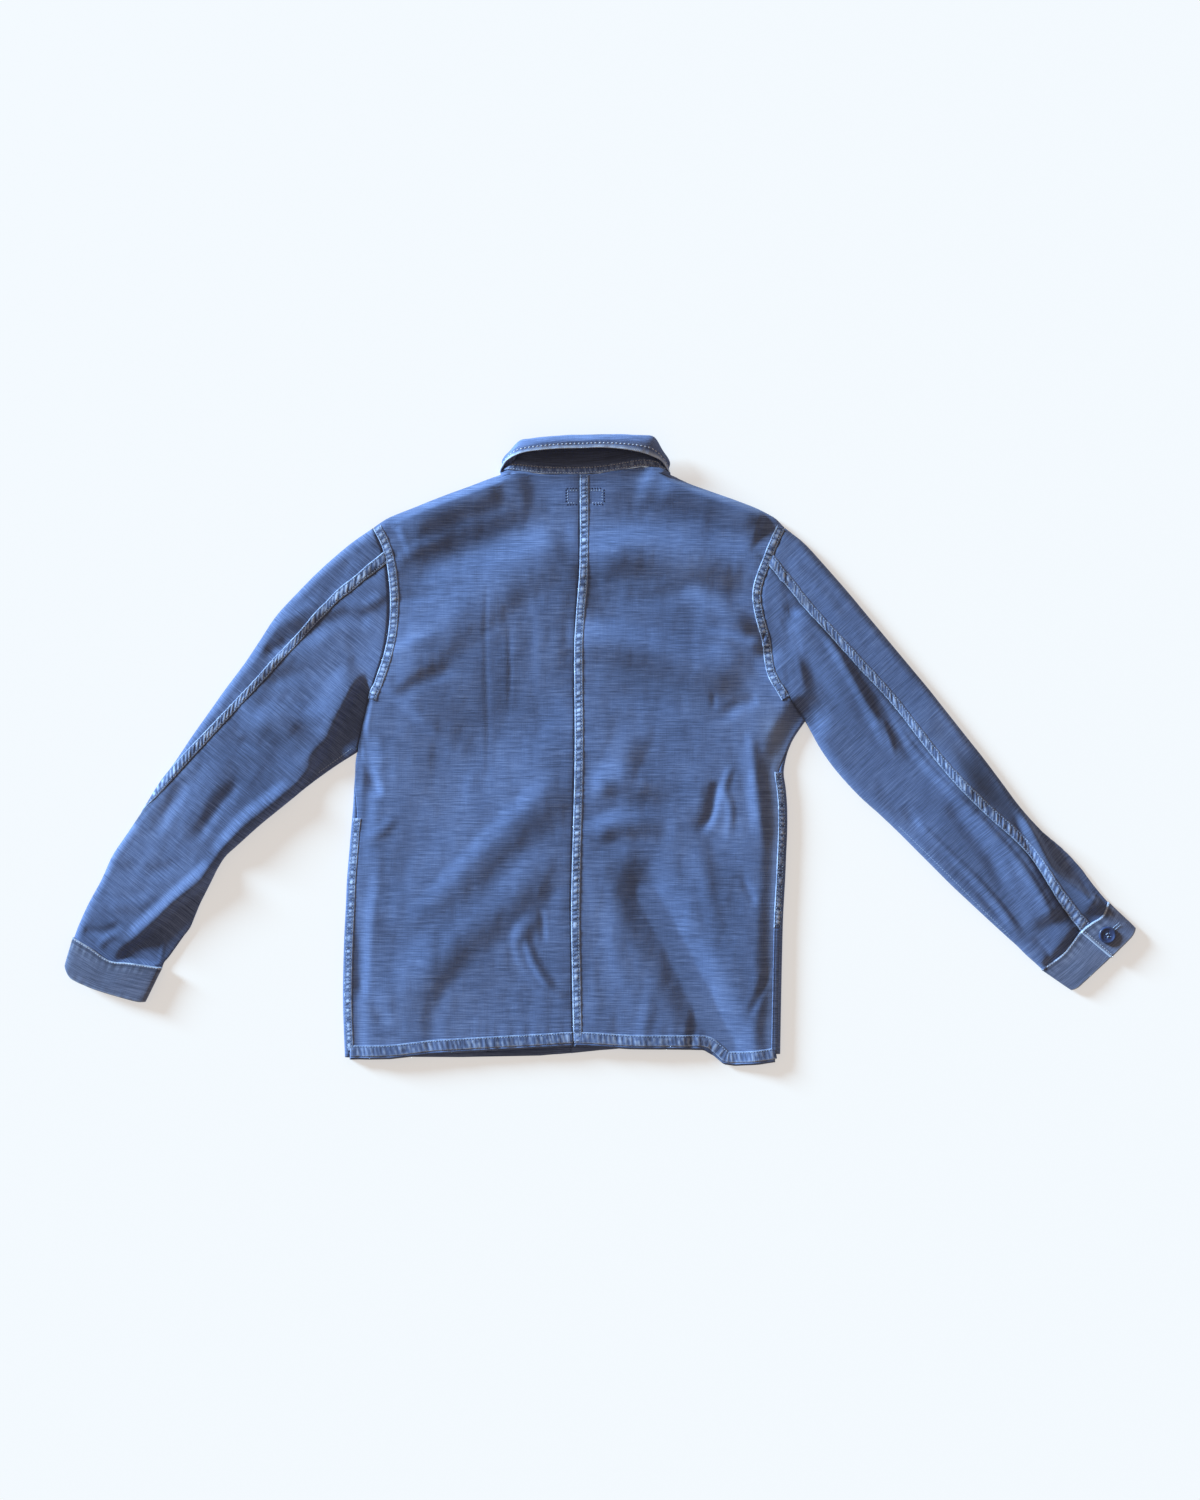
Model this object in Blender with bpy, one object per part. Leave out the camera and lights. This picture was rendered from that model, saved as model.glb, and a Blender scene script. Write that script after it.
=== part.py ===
# Work jacket of washed slub cotton, buttoned, laid flat with its back up.
# Plan tables are in drawing units: u runs to the right, v runs from collar to hem,
# one unit is UNIT millimetres. Heights, walls and gaps are in millimetres.
# Object frame: X right, Y towards the collar, Z up; the origin is under the middle.

import math

import bmesh
import bpy
import numpy as np

for obj in list(bpy.data.objects):
    bpy.data.objects.remove(obj, do_unlink=True)

UNIT = 1.16            # mm in one drawing unit
MID_U, MID_V = 600.0, 749.2
WALL = 1.2             # one layer of cloth
COLLAR_WALL = 1.6      # two layers, pressed
CUFF_WALL = 2.0        # two layers and a turned edge
GAP = 0.3              # between pieces at a seam
SEAM_RAISE = 0.8       # a felled seam's extra height
SEAM_BAND = 9.6        # width of a felled seam
HEM_BAND = 12.6        # depth of the turned hem
FLOOR_MID = WALL / 2   # middle of a layer that lies on the surface
EDGE_MID = 2.4         # height of a soft fold at the silhouette
ROLL = 10.0            # how far in the upper layer reaches its height
CURL = 3.0             # how far in the lower layer leaves the surface
SIDE_RADIUS = 2.4      # fold of the front panel at the side
SIDE_WRAP = 5.8        # how far the front panel comes over to the back
SIDE_RAMP = 32.0
BASE = 11.0            # usual height of the upper layer
BUTTON_D, BUTTON_T = 20.0, 3.0
PLACKET_LIFT = 3.3     # over the buttons
COLLAR_LIFT = 1.9      # over the collar's fall
OVERLAP_LIFT = 1.5     # inner front over the outer one


# ---------------------------------------------------------------- tables (u, v)
SHOULDER_L = [(500, 475), (476, 484), (443, 496), (413, 508), (388, 518), (373, 528)]
SHOULDER_R = [(671, 475), (689, 484), (724, 496), (756, 508), (775, 518), (785, 528)]

# columns: top edge u, v, lower edge u, v
SLEEVE_L = [
    (373, 528, 357, 752), (350, 544, 335, 766), (322, 568, 310, 784),
    (298, 592, 280, 808), (276, 616, 258, 826), (260, 640, 238, 844),
    (244, 664, 225, 856), (226, 688, 217, 868), (209, 712, 211, 880),
    (192, 736, 205, 892), (176, 760, 199, 904), (159, 784, 194, 916),
    (144, 808, 189, 928), (128, 832, 183, 936), (112, 856, 178, 943),
    (101, 880, 173, 950), (88, 904, 168, 957), (78, 926, 163, 963),
    (73, 939.5, 160.5, 969.5)]
SLEEVE_R = [
    (785, 528, 806, 720), (805, 544, 812, 732), (827, 568, 822, 750),
    (848, 592, 838, 772), (868, 616, 860, 796), (888, 640, 880, 814),
    (908, 664, 899, 832), (928, 688, 917, 850), (947, 712, 935, 868),
    (966, 736, 952, 885), (985, 760, 968, 900), (1003, 784, 983, 914),
    (1021, 808, 996, 926), (1042, 831, 1008, 937), (1063, 849, 1018, 946),
    (1081, 868, 1027, 955), (1096, 888, 1036, 963), (1110, 904, 1044, 970.5)]

SIDE_L = [(357, 752), (355.5, 762), (355, 775), (354, 790), (353, 808), (351, 832),
          (349, 856), (347, 880), (346, 904), (344, 945), (343, 1000), (345, 1058)]
SIDE_R = [(806, 720), (795, 736), (789, 748), (785, 762), (783.5, 774), (785.5, 788),
          (787, 808), (787, 832), (786, 856), (785, 880), (783, 916), (782, 952),
          (781, 1000), (780, 1058)]

ARMHOLE_L = [(373, 528), (382, 546), (387.5, 566), (390.5, 595), (389.7, 625),
             (385, 653), (376, 680), (370, 693), (364.6, 717), (359, 740), (357, 752)]
ARMHOLE_R = [(785, 528), (778, 543), (771.6, 558.6), (761, 590), (763, 615),
             (769.6, 640), (774.7, 670.6), (784, 688), (791, 700), (798, 711), (806, 720)]
FRONT_ARMHOLE_L = [(373, 528), (389, 560), (401, 600), (402, 650), (389, 700), (357, 752)]
FRONT_ARMHOLE_R = [(785, 528), (767, 560), (757, 600), (761, 645), (775, 682), (791, 705), (806, 720)]

NECK_BACK = [(500.5, 473), (508, 470.8), (519, 472), (540, 474.6), (560, 475.2),
             (584.5, 475), (600, 474), (620, 470.8), (641, 467.5), (660, 468.5), (670.5, 473)]
FRONT_EDGE_L, FRONT_EDGE_R = 606.0, 571.0

CENTRE_BACK = [(580, 470), (580, 560), (576, 620), (574.5, 660), (575, 760),
               (571.5, 900), (572.5, 980), (574, 1060)]
HEM_BACK = [(340, 1056.5), (390, 1055.5), (430, 1051), (460, 1049), (540, 1044.5),
            (579, 1042.5), (630, 1045.5), (680, 1046), (704, 1047), (714, 1053),
            (724, 1061.5), (735, 1063), (760, 1061), (778, 1058.5), (790, 1056)]
HEM_FRONT = [(340, 1057.5), (460, 1058), (540, 1056.5), (571, 1053.5), (600, 1050.5),
             (640, 1047.5), (700, 1049), (790, 1055)]

SLEEVE_SEAM_L = [(396, 556), (386, 564), (333, 607), (281, 662), (233, 714), (191.5, 759),
                 (157, 797), (136, 821)]
SLEEVE_SEAM_R = [(759, 556), (769, 566), (809, 614), (850, 659), (891.5, 704), (926, 749),
                 (953.5, 783), (988, 817.5), (1015.5, 842), (1036, 866), (1060, 904),
                 (1082.5, 933), (1100, 950)]
CUFF_SEAM_L = [(73, 939.5), (90.6, 950), (103, 959), (113, 963.5), (131, 965), (160.5, 969.5)]
CUFF_SEAM_R = [(1110, 904), (1104, 917), (1092.7, 924.5), (1082.5, 933), (1070, 950),
               (1060, 959.5), (1044, 970.5)]

# Soft folds of the upper layer. Columns: path, height, reach on the left of the
# path, reach on its right, fade at its start, fade at its end (as shares of the path).
FOLDS = [
    # shoulders: raised beside the seam, a hollow below it
    ([(500, 486), (450, 505), (400, 530)], 3.0, 24, 22, 0.1, 0.2),
    ([(575, 520), (500, 540), (435, 565), (400, 600)], -3.0, 26, 26, 0.3, 0.3),
    ([(572, 552), (510, 588), (440, 645), (388, 692)], 4.0, 26, 36, 0.2, 0.15),
    ([(660, 484), (710, 500), (765, 526)], 3.0, 22, 24, 0.1, 0.2),
    ([(600, 512), (650, 512), (710, 536), (745, 560)], -3.0, 26, 26, 0.3, 0.3),
    ([(592, 553), (650, 548), (705, 566), (745, 596)], 3.6, 24, 32, 0.2, 0.3),
    # left half of the back
    ([(572, 768), (500, 838), (400, 940)], 4.0, 34, 20, 0.25, 0.3),
    ([(574, 838), (505, 902), (440, 955), (390, 1020)], 3.6, 30, 34, 0.25, 0.3),
    ([(540, 905), (520, 941), (545, 988), (572, 1006)], 2.2, 14, 12, 0.3, 0.4),
    ([(372, 838), (362, 920), (356, 1010)], -3.0, 14, 18, 0.3, 0.2),
    # right half of the back
    ([(590, 648), (650, 660), (712, 664)], 3.0, 22, 26, 0.3, 0.35),
    ([(690, 600), (735, 622), (765, 655)], 3.4, 20, 18, 0.3, 0.2),
    ([(588, 786), (630, 782), (668, 806)], 3.2, 24, 18, 0.2, 0.4),
    ([(590, 838), (622, 822), (668, 832)], 2.6, 18, 18, 0.2, 0.4),
    ([(612, 862), (660, 940), (716, 1050)], -3.6, 28, 30, 0.3, 0.0),
    ([(640, 850), (705, 930), (752, 1030)], 3.0, 24, 26, 0.3, 0.25),
    ([(746, 728), (754, 780), (762, 850)], 2.2, 14, 12, 0.3, 0.4),
    ([(716, 780), (708, 814), (696, 836)], -2.2, 12, 14, 0.3, 0.3),
    # left sleeve
    ([(322, 740), (345, 700), (366, 672)], 9.0, 30, 14, 0.35, 0.3),
    ([(240, 712), (285, 732), (322, 756)], 5.0, 18, 20, 0.3, 0.1),
    ([(232, 752), (200, 800), (160, 850)], 4.0, 22, 20, 0.3, 0.35),
    ([(300, 782), (250, 820), (215, 862)], 4.0, 22, 14, 0.2, 0.2),
    ([(250, 650), (285, 640), (330, 625)], -2.6, 22, 20, 0.3, 0.3),
    ([(222, 858), (170, 905), (128, 944)], 6.0, 26, 12, 0.2, 0.15),
    # right sleeve
    ([(790, 640), (800, 690), (816, 735)], 6.0, 16, 30, 0.25, 0.25),
    ([(785, 614), (833, 673), (870, 720)], 3.4, 26, 20, 0.2, 0.35),
    ([(858, 690), (895, 745), (935, 790)], -3.0, 20, 20, 0.3, 0.35),
    ([(905, 815), (950, 855), (1005, 915)], 4.6, 34, 30, 0.3, 0.25),
    ([(900, 700), (945, 760), (985, 815)], 3.0, 26, 22, 0.3, 0.3),
    ([(1022, 812), (1052, 868), (1072, 888), (1100, 908)], 3.4, 10, 22, 0.2, 0.1),
    ([(985, 822), (1026, 873), (1064, 936)], -3.4, 20, 20, 0.3, 0.2)]

# Places where the upper layer has folded away and the lower one shows, as low ground.
# Columns: v, u of its left side, u of its right side.
LOW_ARMPIT = [(672, 366, 367), (694, 354, 369.5), (726, 339, 364), (757, 322, 366),
              (790, 296, 380)]
LOW_CUFF_EDGE = [(222, 860), (200, 886), (177, 904), (147, 933), (126, 948), (116, 962),
                 (112, 975)]
LOW_BULGE_EDGE = [(1016, 800), (1036, 838), (1052, 866), (1072, 884), (1100, 905)]


# ---------------------------------------------------------------- small helpers
def smooth(lo, hi, x):
    t = np.clip((np.asarray(x, float) - lo) / (hi - lo), 0.0, 1.0)
    return t * t * (3 - 2 * t)


def curve(points, per=8):
    """A smooth curve through the points, as a dense polyline."""
    p = np.array(points, float)
    p = np.vstack([2 * p[0] - p[1], p, 2 * p[-1] - p[-2]])
    out = []
    for i in range(1, len(p) - 2):
        a, b, c, d = p[i - 1], p[i], p[i + 1], p[i + 2]
        for k in range(per):
            t = k / per
            out.append(0.5 * (2 * b + (c - a) * t + (2 * a - 5 * b + 4 * c - d) * t * t
                              + (3 * b - a - 3 * c + d) * t ** 3))
    out.append(p[-2])
    return np.array(out)


def near(path, u, v):
    """Distance to a polyline, its side (+ on the right hand) and the share along it."""
    u, v = np.asarray(u, float), np.asarray(v, float)
    best = np.full(u.shape, 1e9)
    side, share = np.zeros(u.shape), np.zeros(u.shape)
    seg = np.hypot(*(path[1:] - path[:-1]).T)
    run = np.concatenate([[0], np.cumsum(seg)])
    for i in range(len(path) - 1):
        (au, av), (bu, bv) = path[i], path[i + 1]
        du, dv = bu - au, bv - av
        t = np.clip(((u - au) * du + (v - av) * dv) / (du * du + dv * dv), 0, 1)
        ou, ov = u - au - t * du, v - av - t * dv
        d = np.hypot(ou, ov)
        take = d < best
        best = np.where(take, d, best)
        side = np.where(take, np.sign(du * (v - av) - dv * (u - au)), side)
        share = np.where(take, (run[i] + t * seg[i]) / run[-1], share)
    return best, side, share


def at(table, x, column=0, value=1):
    t = np.array(table, float)
    order = np.argsort(t[:, column])
    return np.interp(x, t[order, column], t[order, value])


TOP_L = curve(SHOULDER_L + [r[:2] for r in SLEEVE_L[1:]], 4)
LOW_L = curve([r[2:] for r in SLEEVE_L], 4)
TOP_R = curve(SHOULDER_R + [r[:2] for r in SLEEVE_R[1:]], 4)
LOW_R = curve([r[2:] for r in SLEEVE_R], 4)
SIDE_LC, SIDE_RC = curve(SIDE_L, 4), curve(SIDE_R, 4)
FOLD_PATHS = [(curve(f[0], 6),) + f[1:] for f in FOLDS]
CUFF_LOW, BULGE_LOW = curve(LOW_CUFF_EDGE, 4), curve(LOW_BULGE_EDGE, 4)


def edge_distance(u, v):
    """Distance in mm to the soft folds at the silhouette."""
    d = np.full(np.shape(u), 1e9)
    for path in (TOP_L, LOW_L, TOP_R, LOW_R):
        d = np.minimum(d, near(path, u, v)[0])
    return d * UNIT


def side_distance(u, v):
    return np.minimum(near(SIDE_LC, u, v)[0], near(SIDE_RC, u, v)[0]) * UNIT


def ramp(lo, hi, x):
    return np.clip((np.asarray(x, float) - lo) / (hi - lo), 0.0, 1.0)


def collar_lift(u, v):
    return COLLAR_LIFT * (1 - ramp(592, 612, v)) * smooth(462, 486, u) * (1 - smooth(684, 708, u))


def front_mid(u, v, outer):
    """Middle of a front panel; the outer one lies nearest the surface."""
    u, v = np.asarray(u, float), np.asarray(v, float)
    run = ramp(546, 592, v)
    if outer:
        lift = PLACKET_LIFT * smooth(548, 566, u) * run
    else:
        lift = PLACKET_LIFT * (1 - smooth(612, 634, u)) * run
        lift = lift + OVERLAP_LIFT * (1 - smooth(610, 630, u))
    d = np.minimum(edge_distance(u, v) / CURL, 1.0)
    curl = (EDGE_MID - FLOOR_MID) * (1 - np.sqrt(1 - (1 - d) ** 2))
    return FLOOR_MID + lift + collar_lift(u, v) + curl


def edge_mid(u, v):
    """Height of the soft fold at the silhouette, raised beside the collar's fall."""
    return EDGE_MID + collar_lift(u, v)


def upper_mid(u, v):
    """Middle of the upper layer, over the back and both sleeves."""
    u, v = np.asarray(u, float), np.asarray(v, float)
    h = np.full(u.shape, BASE)
    for path, height, left, right, fade0, fade1 in FOLD_PATHS:
        d, side, share = near(path, u, v)
        reach = np.where(side > 0, right, left)
        bell = 0.5 + 0.5 * np.cos(np.pi * np.minimum(d / reach, 1.0))
        if fade0:
            bell = bell * smooth(0, fade0, share)
        if fade1:
            bell = bell * smooth(0, fade1, 1 - share)
        h = h + height * bell
    # the armpit's low ground
    lo, hi = at(LOW_ARMPIT, v, 0, 1), at(LOW_ARMPIT, v, 0, 2)
    inside = np.minimum(u - lo, hi - u)
    sunk = smooth(-5, 5, inside) * smooth(672, 690, v) * (1 - smooth(785, 800, v))
    h = h + (4.2 - h) * sunk * (u < 420)
    # beside the left cuff
    d, side, share = near(CUFF_LOW, u, v)
    sunk = smooth(-4, 7, np.where(side < 0, d, -d)) * smooth(0.02, 0.3, share) * (u < 260)
    h = h + (4.6 - h) * sunk
    # the lower layer's bulge above the right cuff
    d, side, share = near(BULGE_LOW, u, v)
    sunk = smooth(-3, 6, np.where(side < 0, d, -d)) * smooth(0.02, 0.25, share) * (u > 980)
    h = h + (5.6 - h) * sunk
    # both sleeves thin out towards their cuffs
    h = h - 2.6 * (1 - smooth(120, 230, u)) * (u < 300) - 2.2 * smooth(960, 1080, u)
    # over what lies between the layers
    lower = np.maximum(front_mid(u, v, True), front_mid(u, v, False)) + WALL / 2
    body = (u > 480) & (u < 690)
    h = np.where(body, np.maximum(h, lower + GAP + WALL / 2 + 0.3), h)
    h = np.maximum(h, 3.4)
    d = np.minimum(edge_distance(u, v) / ROLL, 1.0)
    e = edge_mid(u, v)
    rolled = e + (h - e) * np.sqrt(1 - (1 - d) ** 2)
    s = side_distance(u, v)
    a = np.minimum(s / SIDE_RADIUS, 1.0)
    low = FLOOR_MID + SIDE_RADIUS + SIDE_RADIUS * np.sqrt(1 - (1 - a) ** 2)
    rise = low + (h - low) * smooth(SIDE_WRAP, SIDE_RAMP, s)
    return np.minimum(rolled, np.where(s < SIDE_RAMP, rise, rolled))


def side_share(v, left):
    """1 where the side seam lies on the back, 0 where it is at the fold."""
    return smooth(775, 825, v) if left else smooth(740, 778, v)


# ---------------------------------------------------------------- solids
def to_metres(p):
    q = np.empty_like(p)
    q[..., 0] = (p[..., 0] - MID_U) * UNIT
    q[..., 1] = (MID_V - p[..., 1]) * UNIT
    q[..., 2] = p[..., 2]
    return q / 1000.0


def make(name, verts, faces):
    me = bpy.data.meshes.new(name)
    me.from_pydata([tuple(map(float, p)) for p in verts], [], faces)
    ob = bpy.data.objects.new(name, me)
    bpy.context.scene.collection.objects.link(ob)
    bm = bmesh.new()
    bm.from_mesh(me)
    bmesh.ops.triangulate(bm, faces=[f for f in bm.faces if len(f.verts) > 3])
    bmesh.ops.recalc_face_normals(bm, faces=bm.faces)
    if bm.calc_volume(signed=True) < 0:
        bmesh.ops.reverse_faces(bm, faces=bm.faces)
    bm.to_mesh(me)
    bm.free()
    return ob


def sheet_normals(p):
    dr, dc = np.gradient(p, axis=0), np.gradient(p, axis=1)
    n = np.cross(dr, dc)
    return n / np.maximum(np.linalg.norm(n, axis=-1, keepdims=True), 1e-12)


def sheet(name, mid, wall, outer_up, raised=None, probe=None):
    """A closed sheet of cloth from its middle surface: rows x columns x (u, v, z)."""
    p = to_metres(np.asarray(mid, float))
    n = sheet_normals(p)
    r, c = probe if probe else (p.shape[0] // 2, p.shape[1] // 2)
    if (n[r, c, 2] > 0) != outer_up:
        n = -n
    half = wall / 2000.0
    lift = np.zeros(p.shape[:2]) if raised is None else np.asarray(raised, float) / 1000.0
    top, low = p + n * (half + lift)[..., None], p - n * half
    if not outer_up:
        low[..., 2] = np.maximum(low[..., 2], 0.0)
        top[..., 2] = np.maximum(top[..., 2], 0.0)
    rows, cols = p.shape[:2]
    verts = np.concatenate([top.reshape(-1, 3), low.reshape(-1, 3)])
    k = rows * cols
    i = lambda r, c, s: s * k + r * cols + c
    faces = []
    for r in range(rows - 1):
        for c in range(cols - 1):
            faces.append((i(r, c, 0), i(r, c + 1, 0), i(r + 1, c + 1, 0), i(r + 1, c, 0)))
            faces.append((i(r, c, 1), i(r + 1, c, 1), i(r + 1, c + 1, 1), i(r, c + 1, 1)))
    for r in range(rows - 1):
        for c in (0, cols - 1):
            faces.append((i(r, c, 0), i(r + 1, c, 0), i(r + 1, c, 1), i(r, c, 1)))
    for c in range(cols - 1):
        for r in (0, rows - 1):
            faces.append((i(r, c, 0), i(r, c, 1), i(r, c + 1, 1), i(r, c + 1, 0)))
    return make(name, verts, faces)


# ---------------------------------------------------------------- back panels
SHOULDER_ROWS = [470, 479, 487, 496, 506, 517]
SIDE_ROWS = [770, 788, 808, 830, 854, 880, 906, 932, 958, 984, 1010, 1030]
# how far in from the panel's outer edge its first columns stand, in mm
EDGE_STEPS = {"shoulder": [0, 1.2, 4, 10, 22, 38], "armhole": [0, 4.8, 9.4, 10.3, 20, 34],
              "side": [0, 3, 8, 15, 25, 38]}


def side_rows(left):
    return ([] if left else [734, 748]) + ([762] if left else []) + SIDE_ROWS


def outer_side(v, left):
    """The back's outer edge below the armpit: the side seam."""
    u = at(SIDE_L if left else SIDE_R, v, 1, 0)
    step = SIDE_WRAP * float(side_share(v, left)) / UNIT
    return u + step if left else u - step


def edge_steps(v, left):
    a = smooth(524, 540, v)
    b = smooth(690, 720, v) if left else smooth(686, 716, v)
    s = np.array(EDGE_STEPS["shoulder"]) * (1 - a) + np.array(EDGE_STEPS["armhole"]) * a
    return s * (1 - b) + np.array(EDGE_STEPS["side"]) * b


def back_panel(name, left):
    hole = HOLES[left][0]
    plan = [(v, None) for v in SHOULDER_ROWS]
    plan += [(p[1], p[0]) for p in hole]
    plan += [(v, None) for v in side_rows(left)] + [(1045, None), (1046, None), (1057, None)]
    rows, lift = [], []
    sign = 1 if left else -1
    for n, (v0, hole_u) in enumerate(plan):
        left_rows = len(plan) - 1 - n
        seam = at(CENTRE_BACK, v0, 1, 0) + (-GAP / 2 if left else GAP / 2) / UNIT
        if n == 0:
            outer = 500.9 if left else 670.1
        elif hole_u is not None:
            outer = hole_u
        elif v0 < 528:
            outer = at(SHOULDER_L if left else SHOULDER_R, v0, 1, 0)
        else:
            outer = outer_side(v0, left)
        span = abs(seam - outer) * UNIT
        steps = edge_steps(v0, left)
        stop = span if left else span - SEAM_BAND - 0.9
        scale = min(1.0, 0.62 * stop / steps[-1])
        steps = steps * scale
        inner = np.linspace(steps[-1], stop, 8 if left else 6)[1:]
        offs = np.concatenate([steps, inner])
        if not left:
            offs = np.concatenate([offs, [span - SEAM_BAND, span]])
        u = outer + sign * offs / UNIT
        v = np.full(u.shape, float(v0))
        top = at(NECK_BACK, u, 0, 1)
        hem = at(HEM_BACK, u, 0, 1)
        if n == 0:
            v = top + GAP / 2 / UNIT
        elif v0 < 500:
            v = v + (top - 473) * (1 - smooth(470, 500, v0)) * smooth(0, 30, np.abs(u - outer))
        v = v + (hem - 1051) * smooth(930, 1045, v0)
        if left_rows < 3:
            v = hem - [0.0, HEM_BAND, HEM_BAND + 0.9][left_rows] / UNIT
        z = upper_mid(u, v)
        rows.append(np.stack([u, v, z], -1))
        r = np.zeros(u.shape)
        k = smooth(530, 540, v0) * (1 - smooth(690, 702, v0))
        r[offs <= 9.5 * scale + 0.01] = SEAM_RAISE * k
        if not left:
            r[-2:] = SEAM_RAISE
        if left_rows < 2:
            r[:] = SEAM_RAISE
        lift.append(r)
    return sheet(name, np.array(rows), WALL, True, np.array(lift))


# ---------------------------------------------------------------- front panels
def neck_line(left):
    """The front's neckline just outside the stand's neck edge."""
    pts = np.array([(u, v) for (u, v, z), *rest in COLLAR[6:]], float)
    pts[0] = (501.6, 476.0)
    if not left:
        pts[:, 0] = 1170.4 - pts[:, 0]
    return pts


def front_panel(name, left):
    outer_front = left
    rows = []
    sign = 1 if left else -1
    shoulder = SHOULDER_L if left else SHOULDER_R
    side = SIDE_L if left else SIDE_R
    neck = neck_line(left)
    edge = FRONT_EDGE_L if left else FRONT_EDGE_R
    hole = HOLES[left][1]
    plan = [(v, None) for v in [476.6, 484, 494, 505, 518.6]]
    plan += [(p[1], p[0]) for p in hole]
    extra = [536.6, 542.2, 544.8, 546.0, 592.0, 612.0]
    for v in extra:
        plan.append((v, at(hole, v, 1, 0)))
    plan += [(v, None) for v in side_rows(left)] + [(1046, None), (1057, None)]
    plan.sort(key=lambda p: p[0])
    armpit = side[0][1]
    for n, (v0, hole_u) in enumerate(plan):
        upper = v0 < 528
        if v0 <= 545:
            inner = at(neck, v0, 1, 0) - sign * (0.75 if v0 < 540 else 1.6) / UNIT
        else:
            inner = edge
        if hole_u is not None:
            outer = hole_u
        else:
            outer = at(shoulder if upper else side, v0, 1, 0)
        span = abs(inner - outer) * UNIT
        if v0 <= armpit + 0.5:
            first = [0.0, 1.2, 4.0, 9.0] if upper else [0.0, 1.2, 2.8, 6.0]
            k = min(1.0, 0.6 * span / first[-1])
            offs = np.array(first) * k
            u = outer + sign * offs / UNIT
            v = np.full(u.shape, float(v0))
            z = front_mid(u, v, outer_front)
            z[0] = min(z[0], float(edge_mid(u[0], v[0])) - (0.7 if v0 < 535 else GAP))
            reach = offs[-1]
        else:
            share = float(side_share(v0, left))
            end = max(SIDE_WRAP * share - GAP, 0.0)
            seam_u = outer_side(v0, left)
            target = float(upper_mid(np.array([seam_u]), np.array([float(v0)]))[0])
            target -= 0.9 * (1 - share)
            rad = SIDE_RADIUS
            quarter = math.pi * rad / 2
            arc = quarter if end >= rad else rad * math.acos(1 - end / rad)
            total = arc + max(end - rad, 0.0)
            pts = []
            for t in (1.0, 0.5, 0.0):
                s = t * total - (1 - t) * 0.7 * rad * (1.0 if t else 1.0) * (t == 0.0)
                if s <= quarter:
                    a = s / rad
                    pts.append((rad * (1 - math.cos(a)), FLOOR_MID + rad + rad * math.sin(a)))
                else:
                    pts.append((rad + s - quarter, FLOOR_MID + 2 * rad))
            if total < 0.9:
                pts[0] = (0.0, FLOOR_MID + rad)
                pts[1] = (0.03 * rad, FLOOR_MID + 0.72 * rad)
            pts.append((rad * 1.05, FLOOR_MID))
            pts = np.array(pts)
            k = (target - FLOOR_MID) / (pts[0, 1] - FLOOR_MID)
            pts[:, 1] = FLOOR_MID + (pts[:, 1] - FLOOR_MID) * k
            u = outer + sign * pts[:, 0] / UNIT
            z = pts[:, 1]
            reach = pts[-1, 0]
        if span > 160:
            # columns: even, then close together where the panel rises over the buttons
            mid = list(np.linspace(reach, span - 66, 5)[1:-1])
            offs = np.array(mid + [span - 66, span - 55, span - 43, span - 22, span])
        else:
            offs = np.linspace(reach, span, 9)[1:]
        uu = outer + sign * offs / UNIT
        zz = front_mid(uu, np.full(uu.shape, float(v0)), outer_front)
        u, z = np.concatenate([u, uu]), np.concatenate([z, zz])
        v = np.full(u.shape, float(v0))
        hem = at(HEM_FRONT, u, 0, 1)
        v = v + (hem - 1057) * smooth(960, 1057, v0)
        rows.append(np.stack([u, v, z], -1))
    return sheet(name, np.array(rows), WALL, False, None, probe=(len(rows) - 8, 9))


# ---------------------------------------------------------------- sleeves
def sleeve_rings(left):
    """Closed rings round the sleeve: lower edge, over the upper side, back underneath."""
    table = np.array(SLEEVE_L if left else SLEEVE_R, float)
    hole_up = curve(ARMHOLE_L if left else ARMHOLE_R, 10)[::-1]
    hole_low = curve(FRONT_ARMHOLE_L if left else FRONT_ARMHOLE_R, 10)[::-1]
    cuff = curve(CUFF_SEAM_L if left else CUFF_SEAM_R, 10)[::-1]
    q = np.concatenate([np.linspace(0, 0.08, 30)[:-1], np.linspace(0.08, 0.92, 121),
                        np.linspace(0.92, 1, 30)[1:]])

    def along(path):
        seg = np.concatenate([[0], np.cumsum(np.hypot(*(path[1:] - path[:-1]).T))])
        seg = seg / seg[-1]
        return np.stack([np.interp(q, seg, path[:, 0]), np.interp(q, seg, path[:, 1])], -1)

    def chord(row):
        top, low = row[:2], row[2:]
        return low + (top - low) * q[:, None]

    bend_up, bend_low = along(hole_up) - chord(table[0]), along(hole_low) - chord(table[0])
    bend_cuff = along(cuff) - chord(table[-1])
    rings = []
    last = len(table) - 1
    for n, row in enumerate(table):
        fade = max(0.0, 1 - n / 4.0) ** 2.4
        end = max(0.0, 1 - (last - n) / 4.0) ** 1.3
        up = chord(row) + bend_up * fade + bend_cuff * end
        low = chord(row) + bend_low * fade + bend_cuff * end
        if n == 0:
            step = np.array([-GAP / 2 / UNIT, 0]) if left else np.array([GAP / 2 / UNIT, 0])
            up, low = up + step, low + step
        if n == last:
            step = (np.array([0.35, -0.94]) if left else np.array([-0.7, -0.7])) * GAP / 2 / UNIT
            up, low = up + step, low + step
        zu = upper_mid(up[:, 0], up[:, 1])
        d = np.minimum(edge_distance(low[:, 0], low[:, 1]) / CURL, 1.0)
        zl = FLOOR_MID + (EDGE_MID - FLOOR_MID) * (1 - np.sqrt(1 - (1 - d) ** 2))
        ring = np.concatenate([np.column_stack([up, zu]), np.column_stack([low, zl])[::-1][1:]])
        rings.append(ring)
    return rings, len(q)


def ring_run(ring):
    p = ring * np.array([UNIT, UNIT, 1.0])
    return np.concatenate([[0], np.cumsum(np.linalg.norm(p[1:] - p[:-1], axis=1))])


FOLD_GAP = 0.7
HOLES = {}


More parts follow.
